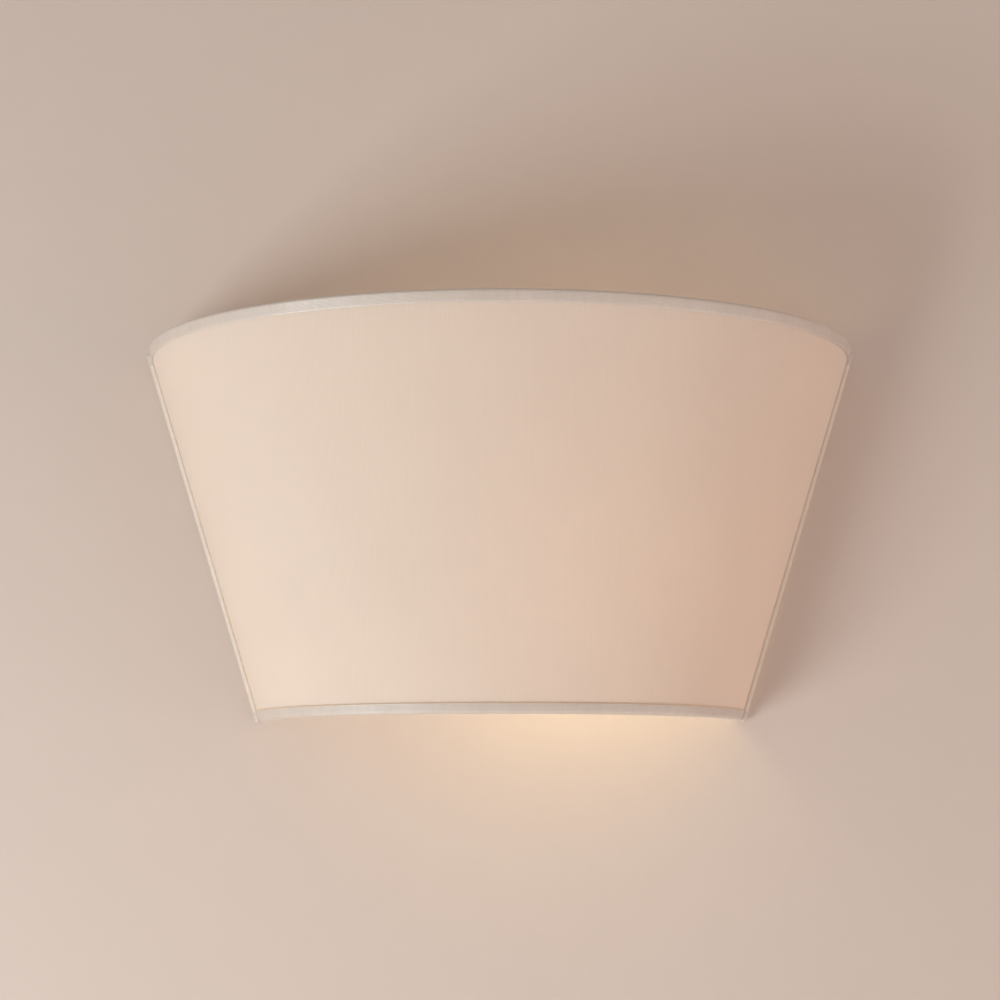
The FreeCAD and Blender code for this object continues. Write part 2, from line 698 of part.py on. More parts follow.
def terminal_block():
    """Strip connector: one barrel per pole, with screw towers facing the wall."""
    back_y = cover_inside_y
    front_y = back_y + terminal_height
    half_width = terminal_width / 2
    barrel_radius = terminal_barrel_radius
    axis_y = terminal_axis_y
    block = box((pole_x(0) - 1, pole_x(terminal_count - 1) + 1), (back_y, back_y + terminal_web),
                (terminal_z - half_width * 0.5, terminal_z + half_width * 0.5))
    for index in range(terminal_count):
        x = pole_x(index)
        block = block.fuse(cylinder(barrel_radius, Vector(x, axis_y, terminal_z - half_width),
                                    Vector(x, axis_y, terminal_z + half_width)))
        for side in (-1, 1):
            z = terminal_z + side * half_width * 0.5
            block = block.fuse(cylinder(terminal_pitch * 0.3, Vector(x, axis_y, z), Vector(x, front_y, z)))
    for index in range(terminal_count):
        x = pole_x(index)
        block = block.cut(cylinder(terminal_insert_radius + layer_gap, Vector(x, axis_y, terminal_z - half_width - 1),
                                   Vector(x, axis_y, terminal_z + half_width + 1)))
        for side in (-1, 1):
            z = terminal_z + side * half_width * 0.5
            block = block.cut(cylinder(terminal_screw_radius + layer_gap, Vector(x, axis_y, z),
                                       Vector(x, front_y + 1, z)))
    fixing_x = terminal_pitch / 2
    return block.cut(cylinder(m3_diameter / 2 + screw_gap, Vector(fixing_x, back_y - 1, terminal_z),
                              Vector(fixing_x, front_y + 1, terminal_z)))


def terminal_inserts():
    """Brass tubes in the barrels, tapped from the wall side."""
    pieces = []
    half_length = terminal_width / 2 - 1.5
    for index in range(terminal_count):
        x = pole_x(index)
        insert = tube(terminal_insert_radius, terminal_insert_radius * 0.62,
                      Vector(x, terminal_axis_y, terminal_z - half_length),
                      Vector(x, terminal_axis_y, terminal_z + half_length))
        for side in (-1, 1):
            z = terminal_z + side * terminal_width / 4
            insert = insert.cut(cylinder(terminal_screw_radius + screw_gap, Vector(x, terminal_axis_y, z),
                                         Vector(x, terminal_axis_y + terminal_pitch, z)))
        pieces.append(insert)
    return Part.makeCompound(pieces)


def terminal_screws():
    """Grub screws that clamp the wires, heads just inside the towers."""
    pieces = []
    tip_y = terminal_axis_y + insulated_wire_diameter / 2 + layer_gap
    head_y = cover_inside_y + terminal_height - 1.0
    for index in range(terminal_count):
        for side in (-1, 1):
            z = terminal_z + side * terminal_width / 4
            x = pole_x(index)
            screw = cylinder(terminal_screw_radius, Vector(x, tip_y, z), Vector(x, head_y, z))
            slot = box((x - 2, x + 2), (head_y - 0.7, head_y + 1), (z - 0.25, z + 0.25))
            pieces.append(screw.cut(slot))
    return Part.makeCompound(pieces)


def terminal_block_screw():
    """Fixing screw from the pan's front, tapped into the block's web."""
    tip_y = cover_face_y + cover_sheet + terminal_web - 0.5
    return pan_head_screw(m3_diameter, cover_face_y - layer_gap, tip_y, terminal_pitch / 2, terminal_z)


def wire_grommet():
    """Rubber ring in the pan's face that guards the lampholder's wires."""
    front_y = cover_face_y - 1.6
    back_y = cover_face_y + cover_sheet + 1.6
    flange = grommet_hole_radius + 1.8
    ring = tube(flange, insulated_wire_diameter + 0.6, Vector(grommet_x, front_y, grommet_z),
                Vector(grommet_x, back_y, grommet_z))
    rims = [edge for edge in ring.Edges if edge.BoundBox.YLength < 1e-6
            and edge.BoundBox.XLength > 2 * flange - 1e-3]
    ring = ring.makeFillet(0.7, rims)
    groove = tube(flange + 1, grommet_hole_radius - layer_gap,
                  Vector(grommet_x, cover_face_y - layer_gap, grommet_z),
                  Vector(grommet_x, cover_face_y + cover_sheet + layer_gap, grommet_z))
    return ring.cut(groove)


def supply_wire(side, pole):
    """A lampholder wire, from its terminal in the insulator to a pole of the block."""
    half_pitch = side * wire_pitch / 2
    pole_z = grommet_z + half_pitch - (1.5 if side < 0 else 0.0)
    route = [
        (Vector(insulator_back_x + 4.0, lamp_y, side * holder_terminal_offset), None),
        (Vector(insulator_back_x - 1.0, lamp_y, side * holder_terminal_offset), 3.0),
        (Vector(nipple_front_x + 0.5, lamp_y, half_pitch), 4.0),
        (Vector(nipple_back_x - 12.5, lamp_y, half_pitch), 8.0),
        (Vector(grommet_x, cover_face_y - 6.0, grommet_z + half_pitch), 12.0),
        (Vector(grommet_x, wire_run_y, grommet_z + half_pitch), 5.0),
        (Vector(pole_x(pole), terminal_axis_y, pole_z), 4.5),
        (Vector(pole_x(pole), terminal_axis_y, terminal_z - 1.5), None),
    ]
    points = [point for point, radius in route]
    radii = [radius for point, radius in route[1:-1]]
    return wire_tube(points, radii, insulated_wire_diameter)


def live_wire():
    return supply_wire(1, 0)


def neutral_wire():
    return supply_wire(-1, 1)


def earth_wire():
    pole = pole_x(terminal_count - 1)
    points = [
        Vector(pole, terminal_axis_y, terminal_z - 1.5),
        Vector(pole, terminal_axis_y, earth_z),
        Vector(earth_x - 16.0, earth_tag_wire_y, earth_z),
        Vector(earth_x - 6.5, earth_tag_wire_y, earth_z),
    ]
    return wire_tube(points, [6.0, 10.0], insulated_wire_diameter)


def earth_tag():
    """Ring terminal crimped on the earth wire, under the earth screw's nut."""
    sheet = 0.8
    back_y = cover_inside_y
    start = Vector(earth_x, back_y, earth_z)
    end = Vector(earth_x, back_y + sheet, earth_z)
    ring = cylinder(4.2, start, end)
    neck = box((earth_x - 8.0, earth_x - 3.0), (back_y, back_y + sheet), (earth_z - 1.6, earth_z + 1.6))
    barrel_start = Vector(earth_x - 11.0, earth_tag_wire_y, earth_z)
    barrel = cylinder(1.9, barrel_start, barrel_start + x_axis * 5.0)
    barrel = barrel.common(box((earth_x - 20, earth_x), (back_y, back_y + 10), (earth_z - 5, earth_z + 5)))
    wire_room = cylinder(insulated_wire_diameter / 2 + layer_gap, barrel_start - x_axis,
                         Vector(earth_x - 6.5 + layer_gap, earth_tag_wire_y, earth_z))
    tag = ring.fuse(neck).fuse(barrel).cut(wire_room)
    return tag.cut(cylinder(m4_diameter / 2 + hole_gap, start - y_axis, end + y_axis))


def earth_screw():
    """Earth screw through the pan with its nut on the tag."""
    nut_y = cover_face_y + cover_sheet + 2 * layer_gap + 0.8
    screw = pan_head_screw(m4_diameter, cover_face_y - layer_gap, nut_y + 4.5, earth_x, earth_z)
    nut = hex_nut(7.0, 3.2, m4_diameter / 2 + screw_gap, Vector(earth_x, nut_y, earth_z), y_axis)
    return Part.makeCompound([screw, nut])


# ---------------------------------------------------------------- build
def main():
    os.makedirs("parts", exist_ok=True)

    fabric = shade_fabric()
    lining = shade_lining()
    top_ring = ring_wire(top_ring_z)
    bottom_ring = ring_wire(bottom_ring_z)
    side_wires = {side: side_wire(side).cut(top_ring).cut(bottom_ring) for side in (-1, 1)}
    top_cross = largest_solid(cross_wire(top_ring_z, plan_axes(top_ring_z)[0] - ring_inset).cut(top_ring))
    carrier = cross_wire(carrier_z, side_point(1, carrier_z).x)
    for side in (-1, 1):
        carrier = carrier.cut(side_wires[side])
    carrier = largest_solid(carrier)
    save("shade_fabric", fabric)
    save("shade_lining", lining)
    save("top_ring_wire", top_ring)
    save("bottom_ring_wire", bottom_ring)
    save("top_cross_wire", top_cross)
    save("carrier_wire", carrier)
    save("side_wire_left", side_wires[-1])
    save("side_wire_right", side_wires[1])
    save("top_trim", top_trim(top_ring))
    save("bottom_trim", bottom_trim(bottom_ring))
    save("side_trim_left", side_trim(-1))
    save("side_trim_right", side_trim(1))

    wall_fitting = [mounting_bar, back_cover, cover_screws, holder_bracket, bracket_screws]
    lampholder = [holder_cap, holder_body, holder_insulator, holder_shell, holder_contact,
                  threaded_nipple, nipple_locknut]
    wiring = [terminal_block, terminal_inserts, terminal_screws, terminal_block_screw, wire_grommet,
              live_wire, neutral_wire, earth_wire, earth_tag, earth_screw]
    lamp = [bulb_glass, bulb_cap, bulb_cap_insulator, bulb_contact, bulb_stem, bulb_filament]
    for make in wall_fitting + lampholder + wiring + lamp:
        save(make.__name__, make())


main()
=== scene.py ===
"""Fabric shade wall light: the looks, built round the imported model.

Everything is in metres in the model's own frame: the wall is the plane y = 0, the front of the
shade faces -Y, +X is to the viewer's right and +Z is up.
"""
import json
import math

import bpy
from bpy.props import FloatProperty, FloatVectorProperty, IntProperty, PointerProperty
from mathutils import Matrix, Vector, noise


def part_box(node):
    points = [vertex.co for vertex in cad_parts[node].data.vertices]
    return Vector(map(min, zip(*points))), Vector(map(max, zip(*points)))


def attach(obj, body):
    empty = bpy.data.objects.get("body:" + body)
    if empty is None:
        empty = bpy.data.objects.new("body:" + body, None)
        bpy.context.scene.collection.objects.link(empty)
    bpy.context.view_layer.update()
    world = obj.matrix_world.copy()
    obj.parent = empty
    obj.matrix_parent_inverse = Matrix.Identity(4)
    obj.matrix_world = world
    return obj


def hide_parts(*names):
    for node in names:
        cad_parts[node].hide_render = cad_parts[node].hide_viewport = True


bl_info = {
    "name": "Fabric Shade Wall Light",
    "version": (1, 0, 0),
    "blender": (4, 5, 0),
    "location": "View3D > Sidebar > Wall Light",
    "description": "Builds the cloth shade, its bindings, the fitting's finishes and a studio wall",
    "category": "Add Mesh",
}

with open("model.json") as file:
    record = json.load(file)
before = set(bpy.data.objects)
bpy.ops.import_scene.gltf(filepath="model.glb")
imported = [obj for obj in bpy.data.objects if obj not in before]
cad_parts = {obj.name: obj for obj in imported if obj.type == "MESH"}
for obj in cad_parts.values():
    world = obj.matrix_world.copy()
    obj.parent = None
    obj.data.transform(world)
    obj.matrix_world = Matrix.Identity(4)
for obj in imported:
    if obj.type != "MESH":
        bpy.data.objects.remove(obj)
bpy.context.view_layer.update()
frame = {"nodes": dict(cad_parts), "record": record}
nodes_by_slot = {}
for entry in frame["record"]["subparts"]:
    nodes_by_slot.setdefault(entry["material_slot"], []).append(entry["node"])
cloth_low, cloth_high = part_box("shade_fabric")


# ---------------------------------------------------------------- settings
def length(name, description, default, precision=4):
    """A setting in metres."""
    return FloatProperty(name=name, description=description, default=default, unit="LENGTH",
                         precision=precision)


def tint(name, description, default):
    """A colour setting."""
    return FloatVectorProperty(name=name, description=description, default=default,
                               subtype="COLOR", size=3, min=0, max=1)


class ShadeSizes(bpy.types.PropertyGroup):
    """Sizes of the cloth shade and its bindings"""

    top_width: length("Top Width", "Width of the cloth at the top rim, at the wall", 0.345)
    bottom_width: length(
        "Bottom Width", "Width of the cloth at the bottom rim, at the wall", 0.231)
    top_projection: length("Top Projection", "How far the top rim stands out from the wall", 0.130)
    bottom_projection: length(
        "Bottom Projection", "How far the bottom rim stands out from the wall", 0.088)
    bottom_z: length(
        "Bottom Rim Height", "Height of the cloth's bottom edge in the frame", cloth_low.z)
    height: length("Height", "Height of the cloth from rim to rim", cloth_high.z - cloth_low.z)
    wall_gap: length("Wall Gap", "Gap between the shade and the wall", 0.0015)
    cloth_end_y: length(
        "Cloth End", "Where the cloth stops short of the side bindings", cloth_high.y)
    roll_radius: length(
        "Side Roll Radius", "Radius of the rolled binding on the side wires", 0.00205, 5)
    roll_stand_out: length(
        "Side Roll Stand-Out", "How far outside the cloth the side wire's centre lies", 0.0006, 5)
    roll_y: length("Side Roll Depth", "Place of the side wires in front of the wall", -0.00355, 5)
    tape_thickness: length("Tape Thickness", "Thickness of the rim tape", 0.0006, 5)
    top_tape_height: length(
        "Top Tape Height", "Height of the tape's outer leg at the top rim", 0.0052)
    bottom_tape_height: length(
        "Bottom Tape Height", "Height of the tape's outer leg at the bottom rim", 0.0043)
    tape_edge_turn: length(
        "Tape Edge Turn", "How far a tape's cut edge is drawn down on to the cloth", 0.0004, 5)
    inner_tape_height: length(
        "Inner Tape Height", "Height of the tapes' legs inside the shade", 0.005)
    tape_inner_inset: length(
        "Tape Inner Inset", "Distance from the cloth's face to the tape's inner face", 0.00493, 5)
    tape_crest: length(
        "Tape Crest", "How far the folded tape stands past the cloth's edge", 0.00065, 5)
    rib_pitch: length("Rib Pitch", "Distance between the cloth's upright ribs", 0.0011, 5)
    segments: IntProperty(
        name="Segments", description="Sides of the full ellipse that the shade is cut from",
        default=512, min=64, max=1024)


class LightColours(bpy.types.PropertyGroup):
    """Colours of the shade, the fitting and the wall"""

    cloth: tint("Cloth", "Colour of the shade's cloth", (0.79, 0.640, 0.532))
    lining: tint("Lining", "Colour of the stiff lining", (0.94, 0.90, 0.85))
    tape: tint("Tape", "Colour of the satin rim tape", (0.635, 0.515, 0.435))
    edge_tape: tint("Edge Tape", "Colour of the rolled tape on the side wires", (0.74, 0.60, 0.49))
    seam: tint("Seam", "Colour of the glued seams and stitches", (0.90, 0.60, 0.33))
    lamp_glow: tint("Lamp Glow", "Colour of the lit bulb", (0.91, 0.82, 0.48))
    wall: tint("Wall", "Colour of the studio wall", (0.66, 0.53, 0.457))
    floor: tint("Floor", "Colour of the studio floor", (0.88, 0.84, 0.80))
    lamp_strength: FloatProperty(
        name="Lamp Strength", description="Brightness of the lit bulb", default=9.5, min=0.0)


# The studio: places and sizes in metres, angles in degrees, lamps in watts. The lamps and the
# camera were set by comparing renders with the photograph.
studio_lamps = (    # name, place, side, power, colour
    ("key", (-0.997, -0.793, -0.690), 0.58, 14.5, (0.81, 0.94, 1.0)),
    ("fill", (1.5, -0.65, -0.7), 1.4, 8.5, (1.0, 0.90, 0.88)),
    ("back", (0.0, 1.6, 0.3), 2.0, 12.0, (1.0, 1.0, 1.0)),
)
world_colour = (0.515, 0.487, 0.472, 1.0)
camera_place = (0.002, -0.960, -0.121)
camera_turn = (90 + 8.82, 0.06, 0.13)
camera_lens = 71.1
wall_half_width, wall_top_z, floor_z, floor_front_y = 3.0, 2.4, -1.35, -4.0
sweep_radius, sweep_steps = 0.5, 12


# ---------------------------------------------------------------- modelling
def select_only(*pieces):
    """Deselects everything and selects these, the last one active."""
    bpy.ops.object.select_all(action="DESELECT")
    for piece in pieces:
        piece.select_set(True)
        bpy.context.view_layer.objects.active = piece


def select_edges(piece, test):
    """Opens a piece in edit mode with only the edges that pass the test selected."""
    select_only(piece)
    bpy.ops.object.mode_set(mode="EDIT")
    bpy.ops.mesh.select_mode(type="EDGE")
    bpy.ops.mesh.select_all(action="DESELECT")
    bpy.ops.object.mode_set(mode="OBJECT")
    for edge in piece.data.edges:
        edge.select = test(*(piece.data.vertices[i].co for i in edge.vertices))
    bpy.ops.object.mode_set(mode="EDIT")


def runs_upright(first, second):
    """Tells an edge along a side bar from the short ones round its ends."""
    return abs(first.z - second.z) > 0.1


def settle(piece, name):
    """Names a new piece and moves its place into its mesh."""
    piece.name = name
    piece.data.name = name
    select_only(piece)
    bpy.ops.object.transform_apply(location=True, rotation=True, scale=True)
    return piece


def apply_modifier(piece, kind, **values):
    """Adds one modifier, sets it and applies it."""
    select_only(piece)
    bpy.ops.object.modifier_add(type=kind)
    modifier = piece.modifiers[-1]
    for key, value in values.items():
        setattr(modifier, key, value)
    bpy.ops.object.modifier_apply(modifier=modifier.name)


def rim_axes(sizes, z, inset):
    """Half width and depth of the shade's half-ellipse at a height, inset from the cloth's face."""
    share = (z - sizes.bottom_z) / sizes.height
    half_width = (sizes.bottom_width + share * (sizes.top_width - sizes.bottom_width)) / 2
    projection = sizes.bottom_projection + share * (sizes.top_projection - sizes.bottom_projection)
    return half_width - inset, projection - sizes.wall_gap - inset


def inset_of(sizes, point):
    """How far inside the cloth's face a point lies, near enough."""
    half_width, depth = rim_axes(sizes, point.z, 0)
    reach = math.hypot(point.x / half_width, (point.y + sizes.wall_gap) / depth)
    return (1 - reach) * (half_width + depth) / 2


def rim_band(sizes, name, profile, back_y, front_y=None):
    """An open skin that follows the shade: an ellipse extruded through (z, inset) rings, then cut.

    The skin is cut off behind back_y, and in front of front_y where one is given.
    """
    bpy.ops.object.select_all(action="DESELECT")
    z, inset = profile[0]
    centre = (0, -sizes.wall_gap, z)
    bpy.ops.mesh.primitive_circle_add(vertices=sizes.segments, radius=1.0, location=centre)
    piece = settle(bpy.context.object, name)
    bpy.ops.object.mode_set(mode="EDIT")
    bpy.ops.mesh.select_mode(type="VERT")
    bpy.ops.mesh.select_all(action="SELECT")
    half_width, depth = rim_axes(sizes, z, inset)
    bpy.ops.transform.resize(value=(half_width, depth, 1.0), center_override=centre)
    for next_z, next_inset in profile[1:]:
        bpy.ops.mesh.extrude_region_move(TRANSFORM_OT_translate={"value": (0, 0, next_z - z)})
        next_width, next_depth = rim_axes(sizes, next_z, next_inset)
        bpy.ops.transform.resize(value=(next_width / half_width, next_depth / depth, 1.0),
                                 center_override=(0, -sizes.wall_gap, next_z))
        z, half_width, depth = next_z, next_width, next_depth
    bpy.ops.mesh.select_all(action="SELECT")
    bpy.ops.mesh.bisect(plane_co=(0, back_y, 0), plane_no=(0, 1, 0), clear_outer=True)
    if front_y is not None:
        bpy.ops.mesh.select_all(action="SELECT")
        bpy.ops.mesh.bisect(plane_co=(0, front_y, 0), plane_no=(0, 1, 0), clear_inner=True)
    bpy.ops.mesh.select_all(action="SELECT")
    bpy.ops.mesh.normals_make_consistent(inside=False)
    bpy.ops.object.mode_set(mode="OBJECT")
    return piece


def face_outwards(piece, sizes, face_test=lambda centre: True):
    """Turns a skin's normals away from the shade's axis, judged on the faces that pass the test."""
    outward = 0.0
    for face in piece.data.polygons:
        if face_test(face.center):
            away = Vector((face.center.x, face.center.y + sizes.wall_gap, 0))
            outward += face.normal.dot(away) * face.area
    if outward < 0:
        select_only(piece)
        bpy.ops.object.mode_set(mode="EDIT")
        bpy.ops.mesh.select_all(action="SELECT")
        bpy.ops.mesh.flip_normals()
        bpy.ops.object.mode_set(mode="OBJECT")


def arc_lengths(half_width, depth, steps=720):
    """Lengths along a half-ellipse from its left end, at equal steps of its parameter."""
    lengths = [0.0]
    last = Vector((-half_width, 0))
    for i in range(1, steps + 1):
        angle = math.pi * i / steps
        point = Vector((-half_width * math.cos(angle), -depth * math.sin(angle)))
        lengths.append(lengths[-1] + (point - last).length)
        last = point
    return lengths


def cut_pattern(sizes):
    """The flat pattern of the shade: its sector's angle and its inner and outer radius."""
    top = arc_lengths(*rim_axes(sizes, sizes.bottom_z + sizes.height, 0))[-1]
    bottom = arc_lengths(*rim_axes(sizes, sizes.bottom_z, 0))[-1]
    lean = (sizes.top_width - sizes.bottom_width
            + 2 * (sizes.top_projection - sizes.bottom_projection)) / 4
    slant = math.hypot(sizes.height, lean)
    angle = (top - bottom) / slant
    return angle, bottom / angle, top / angle


def lay_flat(piece, sizes, sector):
    """Gives a piece the coordinates of the flat pattern as its UV map, in metres.

    With sector the ribs run straight through the cut sector, as in cloth; without it the map
    holds the length along the rim and the height, as on a tape.
    """
    angle, inner, outer = cut_pattern(sizes)
    top_width, top_depth = rim_axes(sizes, sizes.bottom_z + sizes.height, 0)
    table = arc_lengths(top_width, top_depth)
    steps = len(table) - 1
    layers = piece.data.uv_layers
    layer = layers[0] if layers else layers.new(name="flat pattern")
    layers.active = layer
    places = []
    for vertex in piece.data.vertices:
        half_width, depth = rim_axes(sizes, vertex.co.z, 0)
        turn = math.atan2(-(vertex.co.y + sizes.wall_gap) / depth, -vertex.co.x / half_width)
        step = min(max(turn / math.pi * steps, 0.0), steps - 0.001)
        low = int(step)
        share = (table[low] + (step - low) * (table[low + 1] - table[low])) / table[-1]
        level = (vertex.co.z - sizes.bottom_z) / sizes.height
        radius = inner + level * (outer - inner)
        swing = (share - 0.5) * angle
        if sector:
            places.append((radius * math.sin(swing), radius * math.cos(swing) - inner))
        else:
            places.append((radius * swing, vertex.co.z))
    for loop in piece.data.loops:
        layer.data[loop.index].uv = places[loop.vertex_index]


def side_line(sizes, side, z):
    """A point on a side wire's centre line; side is -1 for left and 1 for right."""
    half_width, _ = rim_axes(sizes, z, 0)
    return Vector((side * (half_width + sizes.roll_stand_out), sizes.roll_y, z))


def side_cylinder(sizes, side, radius, low_z, high_z, vertices, shift=(0, 0, 0)):
    """A cylinder along a side wire's line, moved by shift; returns it and its length."""
    low, high = side_line(sizes, side, low_z), side_line(sizes, side, high_z)
    run = high - low
    bpy.ops.object.select_all(action="DESELECT")
    bpy.ops.mesh.primitive_cylinder_add(
        vertices=vertices, radius=radius, depth=run.length,
        location=(low + high) / 2 + Vector(shift),
        rotation=run.to_track_quat("Z", "Y").to_euler())
    return bpy.context.object, run.length


def side_round(sizes, name, side, radius, low_z, high_z, rounded_end=0):
    """A round bar on a side wire's line; rounded_end is 1 for its top, -1 for its bottom."""
    piece, run = side_cylinder(sizes, side, radius, low_z, high_z, vertices=40)
    bpy.ops.object.mode_set(mode="EDIT")
    bpy.ops.mesh.select_all(action="DESELECT")
    bpy.ops.mesh.select_mode(type="FACE")
    bpy.ops.object.mode_set(mode="OBJECT")
    for face in piece.data.polygons:
        face.select = bool(rounded_end) and face.center.z * rounded_end > run / 2 - 1e-6
    bpy.ops.object.mode_set(mode="EDIT")
    if rounded_end:
        bpy.ops.mesh.bevel(offset=radius * 0.55, segments=5, affect="EDGES")
    bpy.ops.mesh.select_all(action="DESELECT")
    bpy.ops.object.mode_set(mode="OBJECT")
    return settle(piece, name)


def smooth(piece, angle=40):
    """Shades a piece smooth but for edges sharper than the angle in degrees."""
    select_only(piece)
    bpy.ops.object.shade_smooth_by_angle(angle=math.radians(angle))


def join(name, *pieces):
    """Joins pieces into the last one."""
    select_only(*pieces)
    bpy.ops.object.join()
    piece = bpy.context.object
    piece.name = piece.data.name = name
    return piece


def finish_piece(piece, material, body, nodes=()):
    """Gives a piece its material and its body, and hides the CAD nodes that it stands for."""
    piece.data.materials.clear()
    piece.data.materials.append(material)
    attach(piece, body)
    if nodes:
        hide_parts(*nodes)


# ---------------------------------------------------------------- shared effects
wave_band = 2 * math.pi / 20    # distance between a Wave texture's bands at a scale of 1


def effect_group(name, setting):
    """An empty shader node group: a vector and one setting in, a height and a mask out."""
    group = bpy.data.node_groups.new(name, "ShaderNodeTree")
    label, default = setting
    group.interface.new_socket("Vector", in_out="INPUT", socket_type="NodeSocketVector")
    number = group.interface.new_socket(label, in_out="INPUT", socket_type="NodeSocketFloat")
    number.default_value = default
    for label in ("Height", "Mask"):
        group.interface.new_socket(label, in_out="OUTPUT", socket_type="NodeSocketFloat")
    start, end = group.nodes.new("NodeGroupInput"), group.nodes.new("NodeGroupOutput")
    start.location, end.location = (-900, 0), (700, 0)
    return group, start, end


def add_math(tree, operation, first, second, clamp=False):
    """A Math node; each side is a socket or a number."""
    node = tree.nodes.new("ShaderNodeMath")
    node.operation = operation
    node.use_clamp = clamp
    for socket, value in zip(node.inputs, (first, second)):
        if isinstance(value, (int, float)):
            socket.default_value = value
        else:
            tree.links.new(value, socket)
    return node.outputs[0]


def weighted_sum(tree, *terms, clamp=False):
    """The sum of sockets, each times a weight that is a number or a socket."""
    parts = [add_math(tree, "MULTIPLY", socket, weight) for socket, weight in terms]
    total = parts[0]
    for part in parts[1:]:
        total = add_math(tree, "ADD", total, part, clamp)
    return total


def stretched(tree, vector, scale):
    """A coordinate scaled along each axis."""
    node = tree.nodes.new("ShaderNodeMapping")
    node.inputs["Scale"].default_value = scale
    tree.links.new(vector, node.inputs["Vector"])
    return node.outputs[0]


def noise_value(tree, vector, scale, detail=2.0, roughness=0.5):
    """A Noise texture's value."""
    node = tree.nodes.new("ShaderNodeTexNoise")
    node.inputs["Scale"].default_value = scale
    node.inputs["Detail"].default_value = detail
    node.inputs["Roughness"].default_value = roughness
    tree.links.new(vector, node.inputs["Vector"])
    return node.outputs["Fac"]


def bands(tree, vector, direction, pitch, distortion=0.0):
    """Soft parallel bands at a pitch in metres."""
    node = tree.nodes.new("ShaderNodeTexWave")
    node.bands_direction = direction
    node.inputs["Scale"].default_value = wave_band / pitch
    node.inputs["Distortion"].default_value = distortion
    tree.links.new(vector, node.inputs["Vector"])
    return node.outputs["Fac"]


def shared_effect(name, make, *values):
    """A node group by its name, made the first time it is asked for."""
    return bpy.data.node_groups.get(name) or make(name, *values)


def make_rib_cloth(name, rib_pitch):
    """Upright ribs crossed by fine weft, with slubs."""
    group, start, end = effect_group(name, ("Slub", 0.5))
    vector = start.outputs["Vector"]
    ribs = bands(group, vector, "X", rib_pitch, 0.6)
    weft = bands(group, vector, "Y", rib_pitch * 0.42, 1.0)
    slub = noise_value(group, stretched(group, vector, (1.0, 0.045, 1.0)), 900, 3.0, 0.6)
    cloud = noise_value(group, vector, 24)
    height = weighted_sum(group, (ribs, 0.55), (weft, 0.12), (slub, start.outputs["Slub"]))
    mask = weighted_sum(group, (height, 0.55), (cloud, 0.45), clamp=True)
    group.links.new(height, end.inputs["Height"])
    group.links.new(mask, end.inputs["Mask"])
    return group


def make_satin_tape(name):
    """Fine lengthwise threads and small puckers along a tape's edges."""
    group, start, end = effect_group(name, ("Pucker", 0.5))
    vector = start.outputs["Vector"]
    threads = bands(group, stretched(group, vector, (1.0, 1.0, 0.0)), "Y", 0.00055, 1.5)
    puckers = noise_value(group, stretched(group, vector, (1.0, 0.35, 1.0)), 420)
    drift = noise_value(group, vector, 60)
    height = weighted_sum(group, (threads, 0.25), (puckers, start.outputs["Pucker"]))
    mask = weighted_sum(group, (puckers, 0.5), (drift, 0.5), clamp=True)
    group.links.new(height, end.inputs["Height"])
    group.links.new(mask, end.inputs["Mask"])
    return group


def make_speckle(name, scale, detail, drift, drift_share, streak=None):
    """Fine noise for the relief, and with slow drift for the mask; streak stretches it."""
    group, start, end = effect_group(name, ("Scale", scale))
    vector = start.outputs["Vector"]
    fine = group.nodes.new("ShaderNodeTexNoise")
    fine.inputs["Detail"].default_value = detail
    place = stretched(group, vector, streak) if streak else vector
    group.links.new(place, fine.inputs["Vector"])
    group.links.new(start.outputs["Scale"], fine.inputs["Scale"])
    mask = weighted_sum(group, (noise_value(group, vector, *drift), drift_share),
                        (fine.outputs["Fac"], 1 - drift_share), clamp=True)
    group.links.new(fine.outputs["Fac"], end.inputs["Height"])
    group.links.new(mask, end.inputs["Mask"])
    return group


def fine_grain():
    """Grain of paint, plastic and rubber, with slow colour drift."""
    return shared_effect("fine grain", make_speckle, 1500.0, 3.0, (45, 3.0, 0.55), 0.7)


def drawn_metal():
    """Streaks of rolled and drawn metal with scattered handling marks."""
    return shared_effect("drawn metal", make_speckle, 900.0, 2.0, (160, 4.0, 0.65), 0.6,
                         (0.06, 1.0, 1.0))


# ---------------------------------------------------------------- materials
def new_material(name):
    """A material with a Principled shader; returns it with its tree and shader."""
    material = bpy.data.materials.new(name)
    material.use_nodes = True
    tree = material.node_tree
    shader = tree.nodes["Principled BSDF"]
    shader.location = (300, 0)
    return material, tree, shader


def place_effect(tree, group, coordinate, **values):
    """A shared effect on a coordinate of the piece, with its own input values."""
    node = tree.nodes.new("ShaderNodeGroup")
    node.node_tree = group
    node.location = (-500, 0)
    source = tree.nodes.new("ShaderNodeTexCoord")
    source.location = (-750, 0)
    tree.links.new(source.outputs[coordinate], node.inputs["Vector"])
    for key, value in values.items():
        node.inputs[key].default_value = value
    return node


def tones(colour, low, high):
    """Two tones of a colour, no channel past 1."""
    return [tuple(min(1.0, channel * factor) for channel in colour) for factor in (low, high)]


def blend_colours(tree, mask, low, high):
    """From a low colour to a high one by a mask; low may be a socket."""
    node = tree.nodes.new("ShaderNodeMix")
    node.data_type = "RGBA"
    node.location = (0, 150)
    if isinstance(low, tuple):
        node.inputs[6].default_value = (*low, 1.0)
    else:
        tree.links.new(low, node.inputs[6])
    node.inputs[7].default_value = (*high, 1.0)
    tree.links.new(mask, node.inputs[0])
    return node.outputs[2]


def ramp(tree, value, start, end, low=0.0, high=1.0):
    """Runs from low to high as a value goes from start to end."""
    node = tree.nodes.new("ShaderNodeMapRange")
    node.location = (0, -100)
    for label, number in (("From Min", start), ("From Max", end), ("To Min", low), ("To Max", high)):
        node.inputs[label].default_value = number
    tree.links.new(value, node.inputs["Value"])
    return node.outputs[0]


